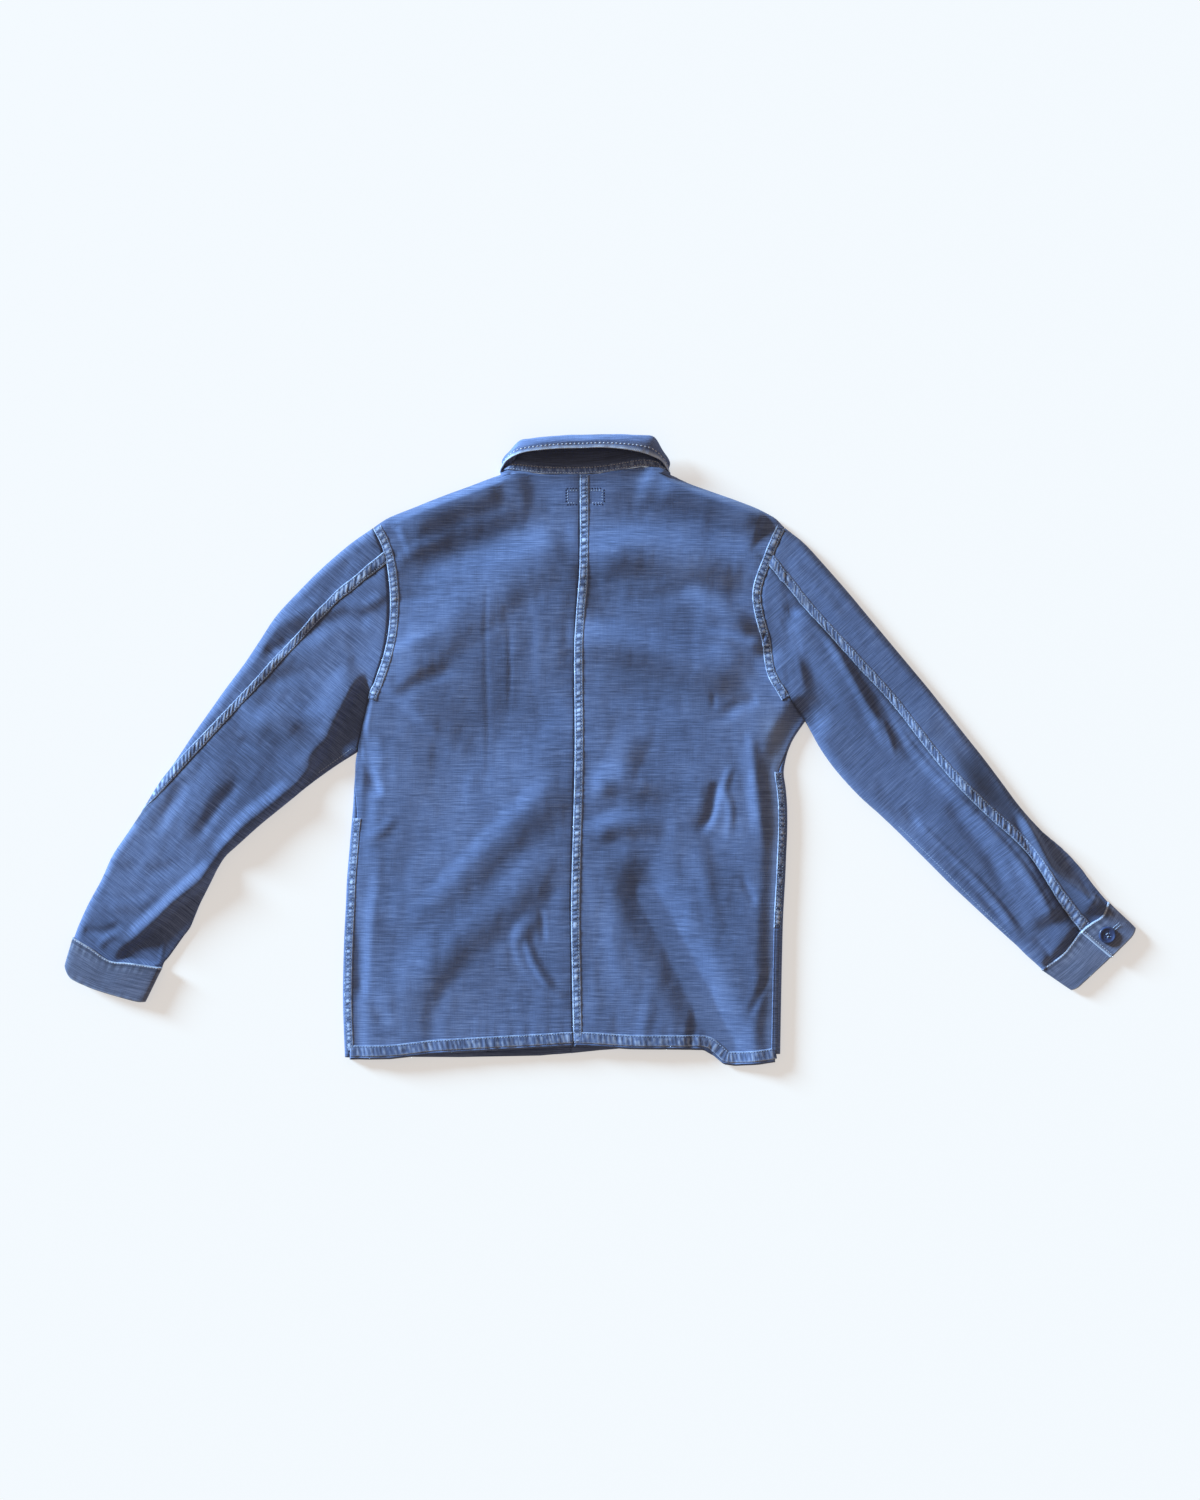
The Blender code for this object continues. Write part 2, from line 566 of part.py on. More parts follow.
def columns(run, start, stop, count, folds, fixed=()):
    """Column places between start and stop, closer together near the folds."""
    s = np.linspace(start, stop, 400)
    d = np.min([np.abs(s - f) for f in folds], axis=0)
    w = 1.0 / (d + 5.0) + 0.028
    c = np.concatenate([[0], np.cumsum((w[1:] + w[:-1]) / 2)])
    places = np.interp(np.linspace(0, c[-1], count), c, s)
    return np.concatenate([list(fixed), places]) if len(fixed) else places


def sleeve(side_name, left):
    rings, top_index = sleeve_rings(left)
    seam = curve(SLEEVE_SEAM_L if left else SLEEVE_SEAM_R, 6)
    under, top, lift = [], [], []
    for n, ring in enumerate(rings):
        run = ring_run(ring)
        full, over = run[-1], run[top_index - 1]
        up = ring[:top_index]
        d, side, share = near(seam, up[:, 0], up[:, 1])
        flat = (share > 0.001) & (share < 0.999)
        key = d + np.where(flat, 0, 50)
        k = int(np.argmin(key))
        at_seam = run[k]
        if left and (key[k] > 1.5 or n > 12):
            at_seam = over + 2.0 + 4.0 * max(0, n - 13)
        gap = GAP / 2 + (0.7 if left and 10 < n < 16 else 0.0)
        wide = 0.0 if left else 0.5 * smooth(12, 17, n)
        u_at = columns(run, FOLD_GAP + 1.2, at_seam - gap - wide, 9, [0.0, over])
        u_at = np.concatenate([[FOLD_GAP], u_at])
        t_at = columns(run, at_seam + gap + SEAM_BAND + 0.9, full - FOLD_GAP - 1.2, 13,
                       [over, full], fixed=(at_seam + gap + wide, at_seam + gap + SEAM_BAND))
        t_at = np.concatenate([t_at, [full - FOLD_GAP]])
        if n == 0:
            t_at[np.argmin(np.abs(t_at - over))] = over
        pick = lambda s: np.stack([np.interp(s, run, ring[:, j]) for j in range(3)], -1)
        under.append(pick(u_at))
        top.append(pick(t_at))
        if n == 0:
            lower = pick(t_at[t_at >= over])
            upper = np.concatenate([pick(u_at), pick(t_at[t_at <= over])])
            shift = GAP / 2 / UNIT if left else -GAP / 2 / UNIT
            away = smooth(650, 675, upper[:, 1]) if left else smooth(625, 650, upper[:, 1])
            near_top = 1 - smooth(529, 545, upper[:, 1])
            upper[:, 0] += shift * (1 + 8 * away + 2.5 * near_top)
            lower[:, 0] += shift * (1.6 + 2 * (1 - smooth(529, 545, lower[:, 1]))
                                    + 4 * smooth(690, 715, lower[:, 1]))
            HOLES[left] = (upper[np.argsort(upper[:, 1])], lower[np.argsort(lower[:, 1])])
        r = np.zeros(len(t_at))
        r[:2] = SEAM_RAISE
        lift.append(r)
    a = sheet(f"sleeve_{side_name}_under", np.array(under), WALL, True, None, probe=(8, 5))
    b = sheet_ring(f"sleeve_{side_name}_top", np.array(top), WALL, np.array(lift))
    return a, b


def sheet_ring(name, mid, wall, lift=None):
    """As sheet(), for one that turns round a fold: outward is away from its middle."""
    p = to_metres(np.asarray(mid, float))
    n = sheet_normals(p)
    centre = p.mean(axis=1, keepdims=True)
    centre[..., 2] = 0.004
    if np.sum(n * (p - centre)) < 0:
        n = -n
    half = wall / 2000.0
    extra = np.zeros(p.shape[:2]) if lift is None else np.asarray(lift, float) / 1000.0
    out, inn = p + n * (half + extra)[..., None], p - n * half
    out[..., 2] = np.maximum(out[..., 2], 0.0)
    rows, cols = p.shape[:2]
    k = rows * cols
    verts = np.concatenate([out.reshape(-1, 3), inn.reshape(-1, 3)])
    i = lambda r, c, s: s * k + r * cols + c
    faces = []
    for r in range(rows - 1):
        for c in range(cols - 1):
            faces.append((i(r, c, 0), i(r, c + 1, 0), i(r + 1, c + 1, 0), i(r + 1, c, 0)))
            faces.append((i(r, c, 1), i(r + 1, c, 1), i(r + 1, c + 1, 1), i(r, c + 1, 1)))
    for r in range(rows - 1):
        for c in (0, cols - 1):
            faces.append((i(r, c, 0), i(r + 1, c, 0), i(r + 1, c, 1), i(r, c, 1)))
    for c in range(cols - 1):
        for r in (0, rows - 1):
            faces.append((i(r, c, 0), i(r, c, 1), i(r, c + 1, 1), i(r, c + 1, 0)))
    return make(name, verts, faces)


# ---------------------------------------------------------------- cuffs
# corners: seam end at the lower edge, seam end at the top edge, free end low, free end top
CUFF_L = dict(low=(160.5, 970), top=(72.8, 940), low_end=(144, 1003.2), top_end=(62.5, 974),
              bow=[(0.0, 0), (0.15, 1.5), (0.4, 3.0), (0.6, 3.6), (0.8, 2.6), (1.0, 0)])
CUFF_R = dict(low=(1044, 971), top=(1111.5, 905), low_end=(1074.5, 991.6), top_end=(1138.5, 930.8),
              bow=[(0.0, 0), (0.5, 0.8), (1.0, 0)])
# the cuff's path: share of the way from its lower edge to its top edge, height in mm
CUFF_GAP = 1.0
CUFF_PATH_R = [(0.560, 7.9), (0.65, 8.0), (0.75, 8.0), (0.85, 7.8), (0.95, 7.0), (0.985, 5.6), (1.0, 4.2),
               (0.992, 2.4), (0.972, 1.3), (0.93, 1.0), (0.82, 1.0), (0.7, 1.0), (0.58, 1.0),
               (0.45, 1.0), (0.32, 1.0), (0.2, 1.0),
               (0.05, 1.0), (0.018, 1.5), (0.0, 3.2), (0.015, 4.6), (0.05, 5.4), (0.2, 5.6),
               (0.32, 5.6), (0.44, 5.6), (0.56, 5.5), (0.68, 5.4), (0.78, 5.35), (0.86, 5.3)]
CUFF_PATH_L = [(0.470, 4.3), (0.30, 4.3), (0.15, 4.2), (0.05, 4.3), (0.02, 4.8), (0.0, 6.6),
               (0.012, 8.6), (0.05, 9.8), (0.2, 10.4), (0.32, 10.5), (0.45, 10.6), (0.58, 10.5),
               (0.7, 10.4), (0.82, 10.2), (0.93, 9.9),
               (0.982, 9.0), (1.0, 7.8), (0.995, 6.8), (0.96, 6.6), (0.8, 6.7), (0.62, 6.7),
               (0.45, 6.7), (0.30, 6.7), (0.2, 6.7)]


def cuff(name, c, path, across, seam):
    low, top = np.array(c["low"], float), np.array(c["top"], float)
    seam = curve(seam, 10)[::-1]
    run = np.concatenate([[0], np.cumsum(np.hypot(*(seam[1:] - seam[:-1]).T))])
    run = run / run[-1]
    low_end, top_end = np.array(c["low_end"], float), np.array(c["top_end"], float)
    path = np.array(path, float)
    out = ((low_end - low) + (top_end - top)) / 2
    out = out / np.linalg.norm(out)
    rows = []
    for t in across:
        q = path[:, 0]
        a = np.column_stack([np.interp(q, run, seam[:, 0]), np.interp(q, run, seam[:, 1])])
        b = low_end + (top_end - low_end) * q[:, None] + out * at(c["bow"], q)[:, None]
        p = a + (b - a) * t + out * (CUFF_GAP / UNIT) * (1 - t)
        z = path[:, 1]
        rows.append(np.column_stack([p, z]))
    return sheet_ring(name, np.array(rows), CUFF_WALL)


# ---------------------------------------------------------------- collar
# Stations from the middle of the back to the front, on the left. Columns: neck edge
# u, v, z; end of the stand u, v, z; the roll's outermost place u, v, z; its crown
# u, v, z; free edge of the fall u, v, z. The right side has its own u.
COLLAR = [
    ((584.5, 474.8, 0), (584.5, 446.5, 12.0), (584.5, 437, 20.0), (584.5, 442.5, 28.5), (584.5, 450.5, 27.5)),
    ((566, 475.2, 0), (566, 447, 12.0), (566, 437.6, 20.0), (566, 443, 28.5), (567, 450.8, 27.5)),
    ((548, 474.9, 0), (548, 447.8, 12.0), (547, 439.2, 20.0), (548, 444.5, 28.0), (549, 451.6, 27.0)),
    ((530, 473.3, 0), (531, 449.5, 11.8), (527, 441.6, 19.0), (528, 446.8, 26.5), (527, 454.0, 25.5)),
    ((517, 471.6, 0), (521, 453.0, 10.8), (514, 446.6, 17.0), (513, 451.5, 23.0), (512.5, 458.2, 22.0)),
    ((507.5, 470.8, 0), (516, 458.5, 8.6), (506.8, 453.0, 12.0), (503.5, 456.5, 15.5), (502.0, 462.5, 15.0)),
    ((502.4, 471.0, 5.4), (516, 465.5, 6.6), (505.0, 457.5, 7.4), (499.0, 461.5, 7.8), (496.4, 468.5, 7.2)),
    ((502.2, 478.0, 3.6), (519, 473.0, 5.0), (514.5, 471.0, 1.8), (503, 471.5, 1.0), (492.0, 474.0, 0.9)),
    ((505.5, 494.0, 2.9), (526, 480.0, 3.4), (527.5, 475.0, 2.1), (515.5, 481.0, 0.8), (489.5, 496.0, 0.8)),
    ((520.5, 518.6, 2.9), (541, 493.0, 3.2), (543.5, 486.5, 2.0), (535, 496.0, 0.8), (508, 533.0, 0.8)),
    ((545.5, 536.6, 2.9), (558, 503.5, 3.2), (559, 496.0, 1.9), (554.5, 506.0, 0.8), (529, 559.0, 0.8)),
    ((565, 542.2, 2.9), (571, 508.5, 3.2), (570.5, 500.5, 1.9), (568.5, 511.0, 0.8), (547, 577.0, 0.8)),
    ((583.6, 544.6, 2.9), (583.6, 511.0, 3.2), (583.6, 503.0, 1.9), (582.2, 513.0, 0.8), (563, 589.0, 0.8))]


def collar_side(left):
    out = []
    for n, row in enumerate(COLLAR):
        pts = []
        for j, (u, v, z) in enumerate(row):
            if not left:
                u = 1170.4 - u
                if n <= 6:
                    v = v - 2.2 * smooth(584, 640, u) * (1 - smooth(655, 672, u)) * (0.5 if j else 1.0)
            if j == 0 and n <= 5:
                v = float(at(NECK_BACK, u, 0, 1)) - 0.6 / UNIT
                z = float(upper_mid(np.array([u]), np.array([v + 1.0]))[0])
            pts.append((u, v, z))
        out.append(pts)
    return out


START_DROP = {5: 0.0, 6: -1.0, 7: 0.0}
STAND_REACH = 0.80


def collar():
    left, right = collar_side(True), collar_side(False)
    stations = np.array(left[::-1] + right[1:], float)     # stations x 5 x (u, v, z)
    neck, stand_end, outer, crown, free = (stations[:, j] for j in range(5))
    off = np.abs(np.arange(len(stations)) - len(stations) // 2)
    reach = np.where((off > 3) & (off < 9), STAND_REACH, 1.0)[:, None]
    stand = np.stack([neck + (stand_end - neck) * reach * t for t in (0.0, 0.33, 0.66, 1.0)], 1)
    fall, mid = [], len(stations) // 2
    for s in range(len(stations)):
        a, b, c, d = stand_end[s], outer[s], crown[s], free[s]
        way = b - a
        length = np.linalg.norm(way * np.array([UNIT, UNIT, 1]))
        step = min(7.0, 0.82 * length) if 4.5 < abs(s - mid) < 8.5 else 1.3
        start = a + way * (step / length)
        start = start + np.array([0, 0, START_DROP.get(abs(s - mid), 0.0)])
        path = [start, start + 0.5 * (b - start) + np.array([0, 0, -0.10]) * (b[2] - a[2]), b,
                b + 0.5 * (c - b) + 0.16 * (b - a) * np.array([1, 1, 0.4]), c,
                c + 0.5 * (d - c), d]
        fall.append(path)
    fall = np.array(fall)
    ends = len(stations) - 1
    obs = [sheet("collar_stand", stand, COLLAR_WALL, True, None, probe=(ends // 2, 1)),
           sheet("collar_fall", fall, COLLAR_WALL, True, None, probe=(ends // 2, 5))]
    return obs


# ---------------------------------------------------------------- buttons
def button(name, u, v, z, turn=0.0):
    """A four-hole button, its rim up, with a dished middle."""
    seg = 16
    x0, y0, z0 = to_metres(np.array([u, v, z], float))
    rad = BUTTON_D / 2000.0
    thick = BUTTON_T / 1000.0
    profile = [(0.90, 0.0), (1.0, 0.3), (1.0, 0.66), (0.92, 1.0), (0.78, 1.0), (0.64, 0.72)]
    hole_at, hole_r, hole_seg = 0.25, 0.09, 5
    verts, faces = [], []
    for r, h in profile:
        for k in range(seg):
            a = turn + 2 * math.pi * k / seg
            verts.append((x0 + rad * r * math.cos(a), y0 + rad * r * math.sin(a), z0 + thick * h))
    for j in range(len(profile) - 1):
        for k in range(seg):
            a, b = j * seg + k, j * seg + (k + 1) % seg
            faces.append((a, b, b + seg, a + seg))
    # the two flat faces, each in four quarters round its hole
    holes = {}
    for level, h in ((0, 0.0), (1, 0.72)):
        centre = len(verts)
        verts.append((x0, y0, z0 + thick * h))
        for quarter in range(4):
            mid = turn + math.pi / 4 + quarter * math.pi / 2
            hx, hy = rad * hole_at * math.cos(mid), rad * hole_at * math.sin(mid)
            first = len(verts)
            for k in range(hole_seg):
                a = mid + 2 * math.pi * k / hole_seg
                verts.append((x0 + hx + rad * hole_r * math.cos(a),
                              y0 + hy + rad * hole_r * math.sin(a), z0 + thick * h))
            holes[(level, quarter)] = first
            base = 0 if level == 0 else (len(profile) - 1) * seg
            rim = [base + (quarter * 4 + k) % seg for k in range(5)]
            loop = rim + [centre]
            ring = [first + k for k in range(hole_seg)]
            faces += bridge(verts, loop, ring)
    for quarter in range(4):
        a0, b0 = holes[(0, quarter)], holes[(1, quarter)]
        for k in range(hole_seg):
            m = (k + 1) % hole_seg
            faces.append((a0 + k, a0 + m, b0 + m, b0 + k))
    return make(name, verts, faces)


def bridge(verts, loop, ring):
    """Triangles between an outer loop and a hole's ring, both in angle order."""
    cx = sum(verts[i][0] for i in ring) / len(ring)
    cy = sum(verts[i][1] for i in ring) / len(ring)
    ang = lambda i: math.atan2(verts[i][1] - cy, verts[i][0] - cx)
    loop = sorted(loop, key=ang)
    ring = sorted(ring, key=ang)
    out, i, j = [], 0, 0
    n, m = len(loop), len(ring)
    la = [ang(k) for k in loop] + [ang(loop[0]) + 2 * math.pi]
    ra = [ang(k) for k in ring] + [ang(ring[0]) + 2 * math.pi]
    while i < n or j < m:
        if j >= m or (i < n and la[i + 1] <= ra[j + 1]):
            out.append((loop[i % n], loop[(i + 1) % n], ring[j % m]))
            i += 1
        else:
            out.append((loop[i % n], ring[(j + 1) % m], ring[j % m]))
            j += 1
    return out


# ---------------------------------------------------------------- build
sleeve("left", True)
sleeve("right", False)
back_panel("back_left", True)
back_panel("back_right", False)
front_panel("front_left", True)
front_panel("front_right", False)
cuff("cuff_left", CUFF_L, CUFF_PATH_L, (0.0, 0.2, 0.5, 0.8, 1.0), CUFF_SEAM_L)
cuff("cuff_right", CUFF_R, CUFF_PATH_R, (0.0, 0.2, 0.5, 0.8, 1.0), CUFF_SEAM_R)
collar()
BUTTON_V = [612, 708, 804, 900, 996]
for n, v in enumerate(BUTTON_V):
    button(f"button_front_{n + 1}", 588.0, v, 0.0)
button("button_cuff_right", 1107.0, 935.0, 9.4, 0.4)
button("button_cuff_left", 133.0, 984.0, 0.0, 0.2)
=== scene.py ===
"""A work jacket laid flat, back up: fine cloth, sewing, materials, light and camera."""
from collections import defaultdict
import math

import bmesh
import bpy
import numpy as np
from mathutils import Matrix, Vector


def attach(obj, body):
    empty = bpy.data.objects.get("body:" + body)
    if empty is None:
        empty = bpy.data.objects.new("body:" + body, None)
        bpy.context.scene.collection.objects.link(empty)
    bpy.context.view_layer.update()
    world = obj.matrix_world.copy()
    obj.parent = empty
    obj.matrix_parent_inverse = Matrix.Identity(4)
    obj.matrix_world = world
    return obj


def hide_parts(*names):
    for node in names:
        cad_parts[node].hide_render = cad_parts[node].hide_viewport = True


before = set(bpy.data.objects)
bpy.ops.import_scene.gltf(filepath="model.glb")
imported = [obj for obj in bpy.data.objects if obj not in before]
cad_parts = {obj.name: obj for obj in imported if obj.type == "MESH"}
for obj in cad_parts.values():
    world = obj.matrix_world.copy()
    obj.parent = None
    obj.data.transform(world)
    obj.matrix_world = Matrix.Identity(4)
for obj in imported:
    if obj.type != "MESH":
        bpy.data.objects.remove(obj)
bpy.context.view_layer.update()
for name in ("Cube", "Light", "Camera"):
    if name in bpy.data.objects:
        bpy.data.objects.remove(bpy.data.objects[name])

LEFT, RIGHT = True, False
UNIT = 1.16            # mm in one drawing unit
MID_U, MID_V = 600.0, 749.2         # the drawing's middle, at the frame's origin
TO_MM = np.array([UNIT, UNIT, 1.0])     # from (u, v, mm) to mm
WALL = 1.2             # one layer of cloth
COLLAR_WALL = 1.6      # two layers, pressed
CUFF_WALL = 2.0        # two layers and a turned edge
BAND_WALL = 0.7        # a felled seam's or a hem's own piece
GAP = 0.3              # between pieces at a seam
FOLD_GAP = 0.7         # left open at the sleeve's lower fold
SEAM_BAND = 9.6        # width of a felled seam
SLEEVE_BAND = 13.4     # width of a sleeve's
SIDE_BAND = 8.6        # width of a side's
HEM_BAND = 12.6        # depth of the turned hem
CUFF_DEPTH = 43.0      # from its seam to its free edge
CUFF_LAP = 2.4         # over the sleeve's end
FLOOR_MID = WALL / 2   # middle of a layer that lies on the surface
EDGE_MID = 2.4         # height of a soft fold at the silhouette
ROLL = 10.0            # how far in the upper layer reaches its height
CURL = 3.0             # how far in the lower layer leaves the surface
SIDE_RADIUS = 2.4      # fold of the front panel at the side
SIDE_WRAP = 5.8        # how far the front panel comes over to the back
SIDE_RAMP = 32.0       # how far in the upper layer reaches its height beside that
BASE = 11.0            # usual height of the upper layer
LOWEST = 3.4           # its least height
PLACKET_LIFT = 3.3     # over the buttons
COLLAR_LIFT = 1.9      # over the collar's fall
OVERLAP_LIFT = 1.5     # inner front over the outer one
AMP = 1.35             # the folds of the solids, at their full depth
BAND_COLUMNS = 17      # across a band
BAND_IN = 1.9          # the stitch rows, in from the band's edges
SHOULDER_V = 528       # where the shoulder meets the armhole
ARMPIT_V = {LEFT: 752, RIGHT: 720}      # where the armhole meets the side
MIRROR = 1170.4        # u of a place on the left and of its twin on the right, added
BUTTON_RADIUS, BUTTON_THICK = 0.010, 0.003      # metres
CUFF_BUTTON = (1107.0, 935.0)

KEY_POWER, KEY_COLOUR, KEY_ANGLE = 11.0, (0.535, 0.79, 1.0), 14
KEY_TOWARD = (0.86, -0.51, -0.26)       # low, from the upper left
WORLD_POWER, WORLD_COLOUR = 0.43, (1.0, 0.76, 0.57)
FLOOR_SIZE, FLOOR_Z = 14, -0.0005

# ---------------------------------------------------------------- tables (u, v)
SHOULDER = {
    LEFT: [(500, 475), (476, 484), (443, 496), (413, 508), (388, 518), (373, 528)],
    RIGHT: [(671, 475), (689, 484), (724, 496), (756, 508), (775, 518), (785, 528)]}
# sleeve columns: top edge u, v, lower edge u, v
SLEEVE = {
    LEFT: [(373, 528, 357, 752), (350, 544, 335, 766), (322, 568, 310, 784), (298, 592, 280, 808),
           (276, 616, 258, 826), (260, 640, 238, 844), (244, 664, 225, 856), (226, 688, 217, 868),
           (209, 712, 211, 880), (192, 736, 205, 892), (176, 760, 199, 904), (159, 784, 194, 916),
           (144, 808, 189, 928), (128, 832, 183, 936), (112, 856, 178, 943), (101, 880, 173, 950),
           (88, 904, 168, 957), (78, 926, 163, 963), (73, 939.5, 160.5, 969.5)],
    RIGHT: [(785, 528, 806, 720), (805, 544, 812, 732), (827, 568, 822, 750), (848, 592, 838, 772),
            (868, 616, 860, 796), (888, 640, 880, 814), (908, 664, 899, 832), (928, 688, 917, 850),
            (947, 712, 935, 868), (966, 736, 952, 885), (985, 760, 968, 900),
            (1003, 784, 983, 914), (1021, 808, 996, 926), (1042, 831, 1008, 937),
            (1063, 849, 1018, 946), (1081, 868, 1027, 955), (1096, 888, 1036, 963),
            (1110, 904, 1044, 970.5)]}
SIDE = {
    LEFT: [(357, 752), (355.5, 762), (355, 775), (354, 790), (353, 808), (351, 832), (349, 856),
           (347, 880), (346, 904), (344, 945), (343, 1000), (345, 1058)],
    RIGHT: [(806, 720), (795, 736), (789, 748), (785, 762), (783.5, 774), (785.5, 788), (787, 808),
            (787, 832), (786, 856), (785, 880), (783, 916), (782, 952), (781, 1000), (780, 1058)]}
ARMHOLE = {
    LEFT: [(373, 528), (382, 546), (387.5, 566), (390.5, 595), (389.7, 625), (385, 653),
           (376, 680), (370, 693), (364.6, 717), (359, 740), (357, 752)],
    RIGHT: [(785, 528), (778, 543), (771.6, 558.6), (761, 590), (763, 615), (769.6, 640),
            (774.7, 670.6), (784, 688), (791, 700), (798, 711), (806, 720)]}
FRONT_ARMHOLE = {
    LEFT: [(373, 528), (389, 560), (401, 600), (402, 650), (389, 700), (357, 752)],
    RIGHT: [(785, 528), (767, 560), (757, 600), (761, 645), (775, 682), (791, 705), (806, 720)]}
SLEEVE_SEAM = {
    LEFT: [(396, 556), (386, 564), (333, 607), (281, 662), (233, 714), (191.5, 759), (157, 797),
           (136, 821)],
    RIGHT: [(759, 556), (769, 566), (809, 614), (850, 659), (891.5, 704), (926, 749), (953.5, 783),
            (988, 817.5), (1015.5, 842), (1036, 866), (1060, 904), (1082.5, 933), (1100, 950)]}
CUFF_SEAM = {
    LEFT: [(73, 939.5), (90.6, 950), (103, 959), (113, 963.5), (131, 965), (160.5, 969.5)],
    RIGHT: [(1110, 904), (1104, 917), (1092.7, 924.5), (1082.5, 933), (1070, 950), (1060, 959.5),
            (1044, 970.5)]}
NECK_BACK = [(500.5, 473), (508, 470.8), (519, 472), (540, 474.6), (560, 475.2), (584.5, 475),
             (600, 474), (620, 470.8), (641, 467.5), (660, 468.5), (670.5, 473)]
CENTRE_BACK = [(580, 470), (580, 560), (576, 620), (574.5, 660), (575, 760), (571.5, 900),
               (572.5, 980), (574, 1060)]
HEM_BACK = [(340, 1056.5), (390, 1055.5), (430, 1051), (460, 1049), (540, 1044.5), (579, 1042.5),
            (630, 1045.5), (680, 1046), (704, 1047), (714, 1053), (724, 1061.5), (735, 1063),
            (760, 1061), (778, 1058.5), (790, 1056)]
HEM_FRONT = [(340, 1057.5), (460, 1058), (540, 1056.5), (571, 1053.5), (600, 1050.5),
             (640, 1047.5), (700, 1049), (790, 1055)]
FRONT_EDGE = {LEFT: 606.0, RIGHT: 571.0}

# Soft folds of the upper layer. Columns: height, reach on the left of the path, reach on its
# right, fade at its start, fade at its end (as shares of the path), and the path's u, v.
FOLDS = [
    # shoulders: raised beside the seam, a hollow below it
    (3.0, 24, 22, 0.1, 0.2, 500, 486, 450, 505, 400, 530),
    (-3.0, 26, 26, 0.3, 0.3, 575, 520, 500, 540, 435, 565, 400, 600),
    (4.0, 26, 36, 0.2, 0.15, 572, 552, 510, 588, 440, 645, 388, 692),
    (3.0, 22, 24, 0.1, 0.2, 660, 484, 710, 500, 765, 526),
    (-3.0, 26, 26, 0.3, 0.3, 600, 512, 650, 512, 710, 536, 745, 560),
    (3.6, 24, 32, 0.2, 0.3, 592, 553, 650, 548, 705, 566, 745, 596),
    # left half of the back
    (4.0, 34, 20, 0.25, 0.3, 572, 768, 500, 838, 400, 940),
    (3.6, 30, 34, 0.25, 0.3, 574, 838, 505, 902, 440, 955, 390, 1020),
    (2.2, 14, 12, 0.3, 0.4, 540, 905, 520, 941, 545, 988, 572, 1006),
    (-3.0, 14, 18, 0.3, 0.2, 372, 838, 362, 920, 356, 1010),
    # right half of the back
    (3.0, 22, 26, 0.3, 0.35, 590, 648, 650, 660, 712, 664),
    (3.4, 20, 18, 0.3, 0.2, 690, 600, 735, 622, 765, 655),
    (3.2, 24, 18, 0.2, 0.4, 588, 786, 630, 782, 668, 806),
    (2.6, 18, 18, 0.2, 0.4, 590, 838, 622, 822, 668, 832),
    (-3.6, 28, 30, 0.3, 0.0, 612, 862, 660, 940, 716, 1050),
    (3.0, 24, 26, 0.3, 0.25, 640, 850, 705, 930, 752, 1030),
    (2.2, 14, 12, 0.3, 0.4, 746, 728, 754, 780, 762, 850),
    (-2.2, 12, 14, 0.3, 0.3, 716, 780, 708, 814, 696, 836),
    # left sleeve
    (9.0, 30, 14, 0.35, 0.3, 322, 740, 345, 700, 366, 672),
    (5.0, 18, 20, 0.3, 0.1, 240, 712, 285, 732, 322, 756),
    (4.0, 22, 20, 0.3, 0.35, 232, 752, 200, 800, 160, 850),
    (4.0, 22, 14, 0.2, 0.2, 300, 782, 250, 820, 215, 862),
    (-2.6, 22, 20, 0.3, 0.3, 250, 650, 285, 640, 330, 625),
    (6.0, 26, 12, 0.2, 0.15, 222, 858, 170, 905, 128, 944),
    # right sleeve
    (6.0, 16, 30, 0.25, 0.25, 790, 640, 800, 690, 816, 735),
    (3.4, 26, 20, 0.2, 0.35, 785, 614, 833, 673, 870, 720),
    (-3.0, 20, 20, 0.3, 0.35, 858, 690, 895, 745, 935, 790),
    (4.6, 34, 30, 0.3, 0.25, 905, 815, 950, 855, 1005, 915),
    (3.0, 26, 22, 0.3, 0.3, 900, 700, 945, 760, 985, 815),
    (3.4, 10, 22, 0.2, 0.1, 1022, 812, 1052, 868, 1072, 888, 1100, 908),
    (-3.4, 20, 20, 0.3, 0.2, 985, 822, 1026, 873, 1064, 936)]
